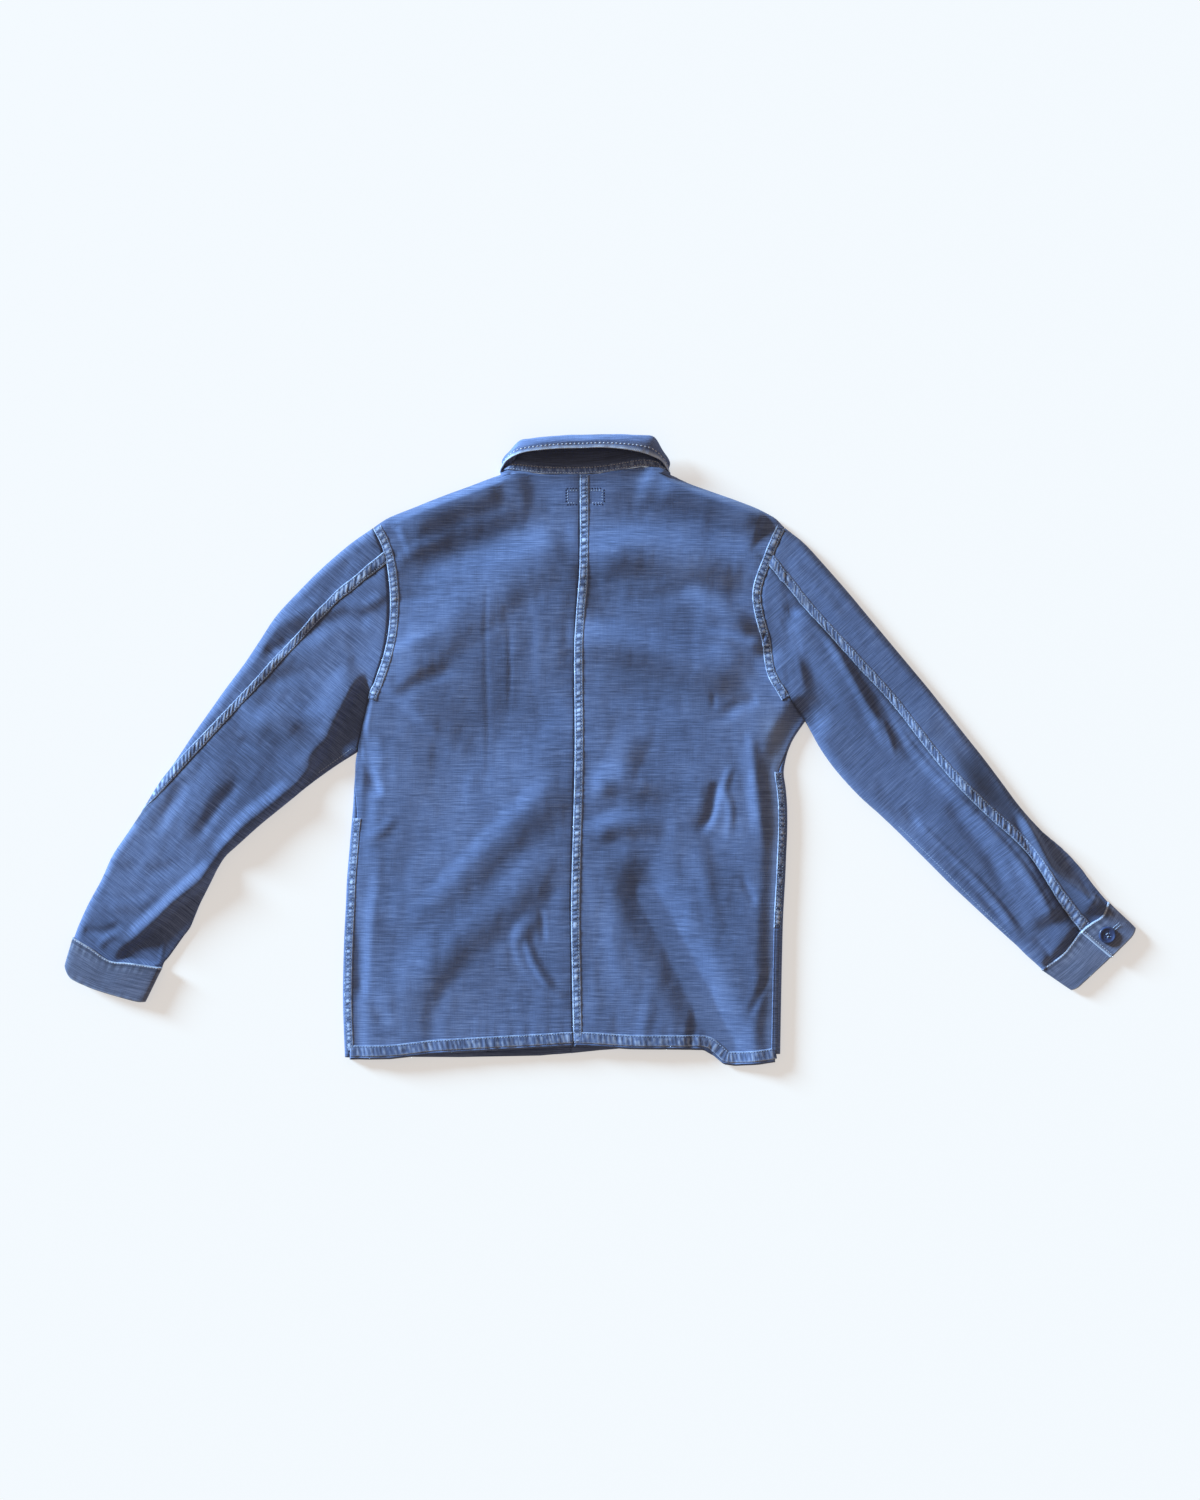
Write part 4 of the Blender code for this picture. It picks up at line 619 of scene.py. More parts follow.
# ---------------------------------------------------------------- meshes
def metres(p):
    """Drawing units and mm of height, to metres in the frame."""
    p = np.asarray(p, float)
    return np.stack([(p[..., 0] - MID_U) * UNIT, (MID_V - p[..., 1]) * UNIT, p[..., 2]],
                    -1) / 1000.0


def drawn(p):
    """The opposite of metres."""
    q = p * 1000.0
    return np.stack([q[..., 0] / UNIT + MID_U, MID_V - q[..., 1] / UNIT, q[..., 2]], -1)


def mesh_object(name, verts, faces, material, uv=None, wear_and_painted_shade=None):
    """A smooth-shaded mesh in the scene, with its weave coordinates and its wear and painted shade
    if given.
    """
    me = bpy.data.meshes.new(name)
    me.from_pydata(np.asarray(verts).tolist(), [], faces)
    if uv is not None:
        layer = me.uv_layers.new(name="weave")
        loops = np.empty(len(me.loops), dtype=np.int32)
        me.loops.foreach_get("vertex_index", loops)
        layer.data.foreach_set("uv", uv[loops].astype(np.float32).ravel())
        values = me.attributes.new("wear_and_painted_shade", "FLOAT", "POINT")
        values.data.foreach_set("value", wear_and_painted_shade.astype(np.float32))
    me.polygons.foreach_set("use_smooth", [True] * len(me.polygons))
    me.materials.append(material)
    me.update()
    ob = bpy.data.objects.new(name, me)
    bpy.context.scene.collection.objects.link(ob)
    return ob


def normals_of(p):
    """The unit normals of a grid of points."""
    n = np.cross(np.gradient(p, axis=0), np.gradient(p, axis=1))
    return n / np.maximum(np.linalg.norm(n, axis=-1, keepdims=True), 1e-12)


def upward(n):
    return np.where(n[..., 2:] < 0, -n, n)


def outward(p, n, centre_z):
    """The normals of rings of points, turned away from the rings' middles."""
    centre = p.mean(axis=1, keepdims=True)
    centre[..., 2] = centre_z
    return -n if np.sum(n * (p - centre)) < 0 else n


def quads(index, flip=False):
    """The faces of a grid of vertex numbers."""
    f = np.stack([index[:-1, :-1], index[:-1, 1:], index[1:, 1:], index[1:, :-1]], -1)
    return f.reshape(-1, 4)[:, ::-1] if flip else f.reshape(-1, 4)


def cloth(name, mid, wall, material, uv, wear_and_painted_shade=None, facing=None, floor=True):
    """A thin closed shell of cloth round its middle surface. facing says of a row and a column
    if the outside there looks up; without it the rows are rings and the shell faces outward."""
    p = metres(mid)
    n = normals_of(p)
    if facing is None:
        n = outward(p, n, 0.004)
    else:
        row, column, up = facing
        if (n[row, column, 2] > 0) != up:
            n = -n
    layers = [p + n * (wall / 2000.0), p - n * (wall / 2000.0)]
    if floor:
        for q in layers:
            q[..., 2] = np.maximum(q[..., 2], 0.0)
    count = p[..., 0].size
    index = np.arange(count).reshape(p.shape[:2])
    # the grid's own winding may be the inward one
    own = np.cross(p[1:, :-1] - p[:-1, :-1], p[:-1, 1:] - p[:-1, :-1])
    flip = bool(np.sum(own * n[:-1, :-1]) > 0)
    a = np.concatenate([index[:, 0], index[-1, 1:], index[-2::-1, -1], index[0, -2:0:-1]])
    b = np.roll(a, -1)
    rim = np.stack([a, b, b + count, a + count], -1)
    faces = np.concatenate([quads(index, flip), quads(index + count, not flip),
                            rim[:, ::-1] if flip else rim])
    wear_and_painted_shade = np.zeros(count) if wear_and_painted_shade is None else wear_and_painted_shade.reshape(-1)
    ob = mesh_object(name, np.concatenate(layers).reshape(-1, 3), faces.tolist(), material,
                     np.concatenate([uv.reshape(-1, 2)] * 2), np.concatenate([wear_and_painted_shade, wear_and_painted_shade]))
    return ob, p, n


# ---------------------------------------------------------------- materials
class Surface:
    """A new material and what it takes to add procedural nodes to it."""

    def __init__(self, name):
        self.material = bpy.data.materials.new(name)
        self.material.use_nodes = True
        self.tree = self.material.node_tree

    def feed(self, node, inputs):
        for key, x in inputs.items():
            if isinstance(x, bpy.types.NodeSocket):
                self.tree.links.new(x, node.inputs[key])
            else:
                node.inputs[key].default_value = x

    def node(self, kind, inputs, out=0, **settings):
        n = self.tree.nodes.new("ShaderNode" + kind)
        for key, x in settings.items():
            setattr(n, key, x)
        self.feed(n, inputs)
        return n.outputs[out]

    def math(self, operation, a, b):
        return self.node("Math", {0: a, 1: b}, operation=operation)

    def total(self, *terms):
        """The sum of sockets, each with its weight."""
        first, *others = [self.math("MULTIPLY", x, weight) for x, weight in terms]
        for x in others:
            first = self.math("ADD", first, x)
        return first

    def ramp(self, x, first, last, *between):
        socket = self.node("ValToRGB", {0: x})
        e = socket.node.color_ramp.elements
        for stop, (position, colour) in zip(e, (first, last)):
            stop.position, stop.color = position, (*colour, 1)
        for position, colour in between:
            e.new(position).color = (*colour, 1)
        return socket

    def finish(self, **inputs):
        self.feed(self.tree.nodes["Principled BSDF"],
                  {key.replace("_", " "): x for key, x in inputs.items()})
        return self.material


CLOTH_DARK, CLOTH_MID = (0.048, 0.073, 0.157), (0.087, 0.129, 0.269)
# the second colour on the next line is what rubbed wear and painted light lighten the cloth towards
CLOTH_LIGHT, CLOTH_WORN_AND_PAINTED_LIGHT = (0.152, 0.214, 0.405), (0.42, 0.52, 0.72)
# what less-faded dye and painted shade darken the cloth towards
CLOTH_UNFADED_AND_PAINTED_SHADE = (0.026, 0.031, 0.052)


def cloth_material(name, dark=1.0, tint=(1, 1, 1)):
    """Slub cotton: long streaks of the weft, a fine grain, faded and unfaded places, and the
    per-point attribute that blends in rubbed wear and painted light, less-faded dye and painted
    shade.
    """
    m = Surface(name)
    uv = m.node("UVMap", {}, uv_map="weave")

    def grain_of(scale, detail=2.0, rough=0.55):
        place = m.node("Mapping", {0: uv, "Scale": scale})
        return m.node("TexNoise", {"Vector": place, "Scale": 1.0, "Detail": detail,
                                   "Roughness": rough}, out="Fac")

    def blend(amount, under, colour):
        return m.node("Mix", {0: amount, 6: under, 7: (*colour, 1)}, out=2, data_type="RGBA")

    def dyed(colour):
        return tuple(c * t * dark for c, t in zip(colour, tint))

    slub = grain_of((20, 860, 1), 3.0, 0.62)          # long weft streaks
    short_slub, warp = grain_of((62, 1700, 1)), grain_of((900, 34, 1))
    grain, fade = grain_of((1500, 1500, 1)), grain_of((7, 7, 1), rough=0.5)
    mix = m.total((slub, 0.46), (short_slub, 0.32), (warp, 0.07), (grain, 0.15),
                  (m.math("SUBTRACT", fade, 0.5), 0.22))
    colour = m.ramp(mix, (0.40, dyed(CLOTH_DARK)), (0.61, dyed(CLOTH_LIGHT)),
                    (0.50, dyed(CLOTH_MID)))
    wear_and_painted_shade = m.node("Attribute", {}, out="Fac", attribute_name="wear_and_painted_shade")
    rubbed = m.node("MapRange", {"Value": grain, "From Min": 0.32, "From Max": 0.62,
                                 "To Min": 0.45, "To Max": 1.0})
    # lighter with rubbed wear, and with painted light where that is given
    worn = m.math("MULTIPLY", m.math("MAXIMUM", wear_and_painted_shade, 0.0), rubbed)
    # darker with less-faded dye, and with painted shade
    unfaded_and_painted_shade = m.math("MULTIPLY", m.math("MINIMUM", wear_and_painted_shade, 0.0), -1.0)
    height = m.total((slub, 0.8), (grain, 0.5), (warp, 0.3))
    return m.finish(Base_Color=blend(unfaded_and_painted_shade, blend(worn, colour, CLOTH_WORN_AND_PAINTED_LIGHT), CLOTH_UNFADED_AND_PAINTED_SHADE),
                    Roughness=0.88, Specular_IOR_Level=0.25, Sheen_Weight=0.14,
                    Sheen_Roughness=0.5, Sheen_Tint=(0.62, 0.72, 1.0, 1),
                    Normal=m.node("Bump", {"Strength": 0.55, "Distance": 0.0006,
                                           "Height": height}))


def plain_material(name, colour, rough, grain_scale, amount, spec=0.4):
    """One colour with a fine grain that makes it lighter and darker by an amount."""
    m = Surface(name)
    place = m.node("TexCoord", {}, out="Object")
    grain = m.node("TexNoise", {"Vector": place, "Scale": grain_scale}, out="Fac")
    shades = [tuple(min(1, c * (1 + k)) for c in colour) for k in (-amount, amount)]
    return m.finish(Base_Color=m.ramp(grain, (0.35, shades[0]), (0.65, shades[1])),
                    Roughness=rough, Specular_IOR_Level=spec)


BODY = cloth_material("cloth_body")
# a darker copy of the cloth for the stand and the neck band, as painted shade under the fall, and a
# lighter copy for the fall, as painted light on its roll
SHADED_COLLAR_MAT = cloth_material("cloth_collar_shaded", dark=0.92)
LIT_FALL_MAT = cloth_material("cloth_fall_lit", dark=1.28)
CUFF_MAT = cloth_material("cloth_cuff", dark=1.04, tint=(1.16, 1.0, 0.84))
THREAD = plain_material("thread", (0.36, 0.45, 0.62), 0.7, 2500, 0.35)
# a dark navy stand-in for the shade in the label's stitched line: painted shade
PAINTED_GROOVE_SHADE = plain_material("painted_groove_shade_navy", (0.012, 0.022, 0.070), 0.7, 2500, 0.35)
THREAD_PALE = plain_material("thread_pale", (0.52, 0.56, 0.66), 0.7, 2500, 0.3)
BUTTON = plain_material("button_plastic", (0.022, 0.040, 0.110), 0.36, 260, 0.3, 0.5)


# ---------------------------------------------------------------- strips and stitches
def band(name, p, nrm, s, width, seed, wave=6.6, pucker=0.34, rows=2, worn=(1.25, 1.15),
         ticks=1.0, material=None):
    """A band of folded cloth lying on a surface: p its points, nrm the surface's normals and s
    the run along it in mm. Gives the band and the lines of its rows of stitches."""
    w = np.linspace(0, width, BAND_COLUMNS)
    sewn_rows = [BAND_IN, width - BAND_IN][-rows:]
    pull = sum(gauss(w - k, 0.65) for k in sewn_rows)
    middle = np.sin(np.pi * w / width) ** 0.5 * (1 - 0.8 * np.minimum(pull, 1))
    slant = ripple(s[:, None] + 0.20 * w, wave, seed)
    slant = slant + 0.55 * noise(s[:, None] / 3.1, w[None] / 4.0, seed + 3)
    rise = 0.66 + 0.42 * quarter(np.minimum(w, width - w), 1.1) - 0.26 * pull
    rise = rise + pucker * slant * middle
    # darker in the pucker valleys and along the sunken stitch rows: painted shade of those hollows
    # together with less-faded dye; lighter on the pucker crests and at the edges: wear
    wear_and_painted_shade = ticks * (1.25 * ramp(-0.12, 0.88, slant) - 0.95 * ramp(0, 1, -slant)) * middle
    line = uneven(s, 5.0, seed + 2)[:, None]
    wear_and_painted_shade = wear_and_painted_shade - 0.85 * ticks * np.minimum(pull, 1) + worn[0] * line * gauss(w, 1.0) \
        + worn[1] * line * gauss(width - w, 0.95)
    uv = np.stack(np.broadcast_arrays(w / 1000 + seed, s[:, None] / 1000), -1)
    row, column = len(s) // 2, BAND_COLUMNS // 2
    ob, sp, sn = cloth(name, drawn(p + nrm * rise[..., None] / 1000.0), BAND_WALL,
                       material or BODY, uv, wear_and_painted_shade, (row, column, nrm[row, column, 2] > 0),
                       floor=False)
    columns = [int(round(k / width * (BAND_COLUMNS - 1))) for k in sewn_rows]
    return ob, [(sp[:, c] + sn[:, c] * 0.00038) * 1000 for c in columns]


def strip(name, path, side, width, seed, **look):
    """A felled seam or hem on the upper layer. path is its joint line, side +1 right, -1 left."""
    path = resample(np.asarray(path, float), 1.2 / UNIT)
    d = np.gradient(path, axis=0)
    d = d / np.maximum(np.linalg.norm(d, axis=1, keepdims=True), 1e-9)
    across = np.stack([-d[:, 1], d[:, 0]], -1) * side
    places = path[:, None] + across[:, None] * (np.linspace(0, width, BAND_COLUMNS) / UNIT)[:, None]
    u, v = places[..., 0], places[..., 1]
    p = metres(np.stack([u, v, upper(u, v)], -1))
    return band(name, p, upward(normals_of(p)), run_of(path) * UNIT, width, seed, **look)


STITCH_SECTION = [(-1, 0), (-0.6, 0.8), (0.6, 0.8), (1, 0)]
STITCH_STATIONS = [(0.45, -0.25), (1.0, 0.0), (1.0, 0.0), (0.45, -0.25)]    # width, drop
STITCH_SINK = 0.08
STITCH_FACES = np.array([(4 * j + c, 4 * j + 4 + c, 4 * j + 4 + (c + 1) % 4, 4 * j + (c + 1) % 4)
                         for j in range(3) for c in range(4)] + [(0, 1, 2, 3), (15, 14, 13, 12)])


def stitches(name, lines, material, length=2.5, pitch=3.2, wide=0.62, high=0.42):
    """Threads along lines of points in mm, one small rounded prism a stitch."""
    verts = []
    for p in lines:
        r = run_of(p)
        for k in range(int(r[-1] / pitch)):
            start = k * pitch + 0.3 + 0.12 * math.sin(k * 2.399)
            if start + length > r[-1]:
                break
            q = pick(p, r, np.linspace(start, start + length, 4))
            d = unit(q[-1] - q[0])
            side = unit(np.array([-d[1], d[0], 0.0]))
            up = np.cross(d, side)
            up = -up if up[2] < 0 else up
            for point, (scale, drop) in zip(q, STITCH_STATIONS):
                verts += [point + side * x * wide / 2 * scale
                          + up * (y * high * scale + drop - STITCH_SINK)
                          for x, y in STITCH_SECTION]
    starts = np.arange(0, len(verts), 16)
    faces = (starts[:, None, None] + STITCH_FACES).reshape(-1, 4).tolist()
    ob = mesh_object(name, np.array(verts) / 1000, faces, material)
    bm = bmesh.new()
    bm.from_mesh(ob.data)
    bmesh.ops.recalc_face_normals(bm, faces=bm.faces)
    bm.to_mesh(ob.data)
    bm.free()
    return ob


def proud(p, n, wall):
    """Where a thread lies on a cloth: its outer face, in mm."""
    return (p + n * (wall / 2000 + 0.00008)) * 1000


def on_top(points, lift=0.06):
    """A line of thread on the upper layer, in mm."""
    q = resample(curve(points, 6), 1.0)
    return metres(np.column_stack([q, upper(q[:, 0], q[:, 1]) + WALL / 2 + lift])) * 1000


# ---------------------------------------------------------------- sleeves
def spread_columns(start, stop, count, folds):
    """Places from start to stop, closer together beside the folds."""
    s = np.linspace(start, stop, 500)
    w = 1.0 / (np.min([np.abs(s - f) for f in folds], axis=0) + 7.0) + 0.045
    c = np.concatenate([[0], np.cumsum((w[1:] + w[:-1]) / 2)])
    return np.interp(np.linspace(0, c[-1], count), c, s)


def denser(grid):
    """The grid with four rows for each of its own."""
    rows = len(grid)
    places = np.linspace(0, rows - 1, rows * 4 - 3)
    return np.stack([pick(grid[:, c], np.arange(rows), places) for c in range(grid.shape[1])], 1)


def fine_rings(left):
    """Rings round the sleeve from the armhole to the cuff, and the columns on its top."""
    table, side = curve(SLEEVE[left], 8), -1 if left else 1
    q = np.concatenate([np.linspace(0, 0.08, 24)[:-1], np.linspace(0.08, 0.92, 101),
                        np.linspace(0.92, 1, 24)[1:]])

    def chord(row):
        return row[2:] + (row[:2] - row[2:]) * q[:, None]

    def bend(points, row):
        path = curve(points, 10)[::-1]
        run = run_of(path)
        return pick(path, run / run[-1], q) - chord(row)

    bend_up, bend_low = bend(ARMHOLE[left], table[0]), bend(FRONT_ARMHOLE[left], table[0])
    bend_cuff = bend(CUFF_SEAM[left], table[-1])
    to_cuff = np.array([0.35, -0.94] if left else [-0.7, -0.7])
    last = len(table) - 1
    ups, lows = [], []
    for n, row in enumerate(table):
        fade, end = max(0.0, 1 - n / 32.0) ** 2.4, max(0.0, 1 - (last - n) / 32.0) ** 1.3
        gap = max(0.0, 1 - n / 3.0) * side * np.array([1.0, 0.0]) \
            + max(0.0, 1 - (last - n) / 3.0) * to_cuff
        base = chord(row) + bend_cuff * end + gap * GAP / 2 / UNIT
        ups.append(base + bend_up * fade)
        lows.append(base + bend_low * fade)
    (uu, vu), (ul, vl) = (np.moveaxis(np.array(x), -1, 0) for x in (ups, lows))
    # the end goes under its cuff
    under_cuff = 9.0 if left else np.where(q < 0.56, 4.2, 6.7)
    blend = smooth(last - 7, last, np.arange(len(table)))[:, None] \
        * smooth(0.0, 0.08, np.minimum(q, 1 - q))
    zu = upper(uu, vu)
    zu = zu + (under_cuff - zu) * blend
    edge = nearest(EDGES, ul, vl)
    under_fold = 0.5 + 0.5 * noise(ul / 40, vl / 40, 31)
    zl = FLOOR_MID + curl(edge) + 0.8 * under_fold * smooth(6, 30, np.minimum(edge, CURL) * 10)
    up, low = np.stack([uu, vu, zu], -1), np.stack([ul, vl, zl], -1)
    return np.concatenate([up, low[:, ::-1][:, 1:]], 1), len(q)


def joint_run(rings, runs, top_index, left):
    """Where the sleeve's seam crosses each ring, as a run from the ring's start."""
    seam, joint = curve(SLEEVE_SEAM[left], 8), []
    for n, (ring, run) in enumerate(zip(rings, runs)):
        d, sign, share = near(seam, ring[:top_index, 0], ring[:top_index, 1])
        sd, place = d * sign, run[int(np.argmin(d))]
        hit = [k for k in range(top_index - 1)
               if sd[k] * sd[k + 1] <= 0 and d[k] < 12 and 0.001 < share[k] < 0.999]
        if hit:
            k = hit[-1]
            part = abs(sd[k]) / max(abs(sd[k]) + abs(sd[k + 1]), 1e-9)
            place = run[k] + (run[k + 1] - run[k]) * part
        if left:        # it leaves the top over the fold, towards the cuff
            m = n / 8.0
            beyond = run[top_index - 1] + 2.0 + 4.0 * max(0.0, m - 13)
            place = place + (beyond - place) * float(smooth(11.4, 12.6, m)) if hit else beyond
        joint.append(place)
    soft = np.convolve(np.pad(joint, 3, mode="edge"), np.array([1, 2, 3, 4, 3, 2, 1]) / 16.0,
                       mode="valid")
    soft[:2], soft[-2:] = joint[:2], joint[-2:]
    return soft


HOLE_UP, HOLE_LOW = {}, {}      # the armholes' edges, for the back and for the fronts


def sleeve(side, left):
    """Both cloths of a sleeve, the felled seam between them and its stitches."""
    rings, top_index = fine_rings(left)
    runs = [run_of(ring * TO_MM) for ring in rings]
    under, top, band_mid = [], [], []
    for ring, run, joint in zip(rings, runs, joint_run(rings, runs, top_index, left)):
        full, over = run[-1], run[top_index - 1]
        under.append(pick(ring, run, spread_columns(FOLD_GAP, joint - GAP / 2, 62,
                                                    [0.0, min(over, joint), joint])))
        top.append(pick(ring, run, spread_columns(joint + GAP / 2, full - FOLD_GAP, 92,
                                                  [over, full, joint])))
        band_mid.append(pick(ring, run, joint + GAP / 2 + np.linspace(0, SLEEVE_BAND,
                                                                      BAND_COLUMNS)))
    a, b = rings[0][:top_index].copy(), rings[0][top_index - 1:].copy()
    shift = GAP / 2 / UNIT * (1 if left else -1)
    away = smooth(650, 675, a[:, 1]) if left else smooth(625, 650, a[:, 1])
    a[:, 0] += shift * (1 + 2 * away)
    b[:, 0] += shift * (2 + 4 * smooth(690, 715, b[:, 1]))
    HOLE_UP[left], HOLE_LOW[left] = a, b

    ax, ay = (-0.63, 0.777) if left else (0.67, 0.742)      # the sleeve's direction
    parts = []
    for kind, mid in (("under", np.array(under)), ("top", np.array(top))):
        u, v = (mid[..., 0] - 600) * UNIT / 1000, (mid[..., 1] - 500) * UNIT / 1000
        uv = np.stack([u * ay - v * ax, u * ax + v * ay + (2 if left else 4)], -1)
        parts.append(cloth(f"sleeve_{side}_{kind}_cloth", mid, WALL, BODY, uv,
                           painted_shade_light_and_seam_dye(mid[..., 0], mid[..., 1]))[0])
    grid = denser(np.array(band_mid))
    p = metres(grid)
    nrm = normals_of(p)
    if nrm[len(nrm) // 3, 8, 2] < 0:
        nrm = -nrm
    seam, lines = band(f"sleeve_{side}_back_seam", p, nrm, run_of(grid[:, 8] * TO_MM),
                       SLEEVE_BAND, 41 + left, worn=(1.25, 1.15) if left else (0.95, 0.8),
                       ticks=1.0 if left else 0.72)
    return parts, [seam, stitches(f"sleeve_{side}_seam_stitches", lines, THREAD)]


# ---------------------------------------------------------------- fronts and backs
def outer_edge(v, left):
    """The back's outer edge: shoulder line, armhole, side seam."""
    v = np.asarray(v, float)
    step = SIDE_WRAP * side_share(v, left) / UNIT
    side = at_v(curve(SIDE[left], 6), v) + (step if left else -step)
    u = np.where(v < SHOULDER_V, at_v(SHOULDER[left], v), at_v(HOLE_UP[left], v))
    return np.where(v > ARMPIT_V[left], side, u)


def side_fold(v0, left, target):
    """The front's wrap round the side fold: distances from the edge in mm, and heights."""
    share, rad = float(side_share(v0, left)), SIDE_RADIUS
    end = max(SIDE_WRAP * share - GAP, 0.0)
    bend = math.pi * rad / 2
    arc = bend if end >= rad else rad * math.acos(1 - end / rad)
    total = max(arc + max(end - rad, 0.0), 0.0)
    pts = []
    for t in (1.0, 0.75, 0.5, 0.25, 0.0):
        s = t * total
        if s <= bend:
            pts.append((rad * (1 - math.cos(s / rad)), rad + rad * math.sin(s / rad)))
        else:
            pts.append((rad + s - bend, 2 * rad))
    offs, rise = np.array(pts + [(rad * 0.3, rad * 0.28), (rad * 1.05, 0.0)]).T
    level = target - 0.9 * (1 - share) - FLOOR_MID
    return offs, FLOOR_MID + rise * level / max(rise[0], 0.5)


def front(name, left):
    """A front, under the back, with its wrap round the side fold."""
    sign = 1 if left else -1
    neck = np.array([station[:2] for station in COLLAR[6:]], float)
    neck[0] = (501.6, 476.0)
    if not left:
        neck[:, 0] = MIRROR - neck[:, 0]
    side = curve(SIDE[left], 6)
    armpit = side[0][1]
    rows, plan = [], np.linspace(476.6, 1057, 150)
    below = np.maximum(plan, armpit + 0.5)
    for v0, target in zip(plan, upper(outer_edge(below, left), below)):
        inner = FRONT_EDGE[left]
        if v0 <= 545:
            inner = at_v(neck, v0) - sign * (0.75 + 0.85 * float(smooth(538, 545, v0))) / UNIT
        outline = SHOULDER if v0 < SHOULDER_V else HOLE_LOW
        outer = at_v(side if v0 > armpit else outline[left], v0)
        span = abs(inner - outer) * UNIT
        if v0 <= armpit:
            offs = np.array([0.0, 0.6, 1.2, 2.0, 2.8, 4.0, 6.0]) * min(1.0, 0.6 * span / 6.0)
            u = outer + sign * offs / UNIT
            z = front_mid(u, np.full(u.shape, v0), left)
            edge = EDGE_MID + float(collar_lift(u[0], v0))
            z[0] = min(z[0], edge - (0.7 if v0 < 535 else GAP))
        else:
            offs, z = side_fold(v0, left, target)
            u = outer + sign * offs / UNIT
        inside = outer + sign * np.linspace(offs[-1], span, 64)[1:] / UNIT
        z = np.concatenate([z, front_mid(inside, np.full(inside.shape, v0), left)])
        u = np.concatenate([u, inside])
        v = v0 + (at(HEM_FRONT, u) - 1057) * smooth(960, 1057, v0)
        rows.append(np.stack([u, v, z], -1))
    mid = np.array(rows)
    uv = np.stack([mid[..., 0] * UNIT / 1000 + 9, mid[..., 1] * UNIT / 1000], -1)
    return cloth(name, mid, WALL, BODY, uv, facing=(110, 40, False))[0]


def back(name, left):
    """One half of the back."""
    sign = 1 if left else -1
    v0 = np.linspace(470, 1057, 226)
    outer = outer_edge(np.maximum(v0, 475.2), left)
    outer = np.where(v0 < 476, 500.9 if left else 670.1, outer)
    span = np.abs(at_v(CENTRE_BACK, v0) - sign * GAP / 2 / UNIT - outer) * UNIT
    offs = np.stack([np.concatenate([np.linspace(0, 10.8, 9), np.linspace(10.8, s, 86)[1:]])
                     for s in span])
    u = outer[:, None] + sign * offs / UNIT
    v = np.repeat(v0[:, None], u.shape[1], 1)
    top, hem = at(NECK_BACK, u), at(HEM_BACK, u)
    v = v + (top - 473) * (1 - smooth(470, 500, v)) * smooth(0, 30, np.abs(u - outer[:, None]))
    v[0] = top[0] + GAP / 2 / UNIT
    v = v + (hem - 1051) * smooth(930, 1045, v0)[:, None]
    v[-1] = hem[-1]
    uv = np.stack([(u - 578) * UNIT / 1000, (1100 - v) * UNIT / 1000], -1)
    return cloth(name, np.stack([u, v, upper(u, v)], -1), WALL, BODY, uv, painted_shade_light_and_seam_dye(u, v),
                 (110, 60, True))[0]


# ---------------------------------------------------------------- collar and cuffs
def collar_side(left):
    """The stations of one side of the collar, from the middle of the back to the front."""
    out = []
    for n, row in enumerate(np.reshape(COLLAR, (-1, 5, 3))):
        pts = []
        for j, (u, v, z) in enumerate(row):
            if not left:
                u = MIRROR - u
                if n <= 6:
                    v = v - 2.2 * smooth(584, 640, u) * (1 - smooth(655, 672, u)) / (2 if j else 1)
            if j == 0 and n <= 5:
                v = float(at(NECK_BACK, u)) - 0.6 / UNIT
                z = float(upper_mid(np.array([u]), np.array([v + 1.0]))[0])
            pts.append((u, v, z))
        out.append(pts)
    return out


def along_grid(grid, per_row, per_column):
    """The grid with smooth curves through its rows and its columns."""
    for per in (per_row, per_column):
        dense = curve(grid.reshape(len(grid), -1), per)
        grid = dense.reshape(-1, *grid.shape[1:]).transpose(1, 0, 2)
    return grid


def row_runs(grid):
    """The run in mm along each row of a grid."""
    return np.array([run_of(row * TO_MM) for row in grid])


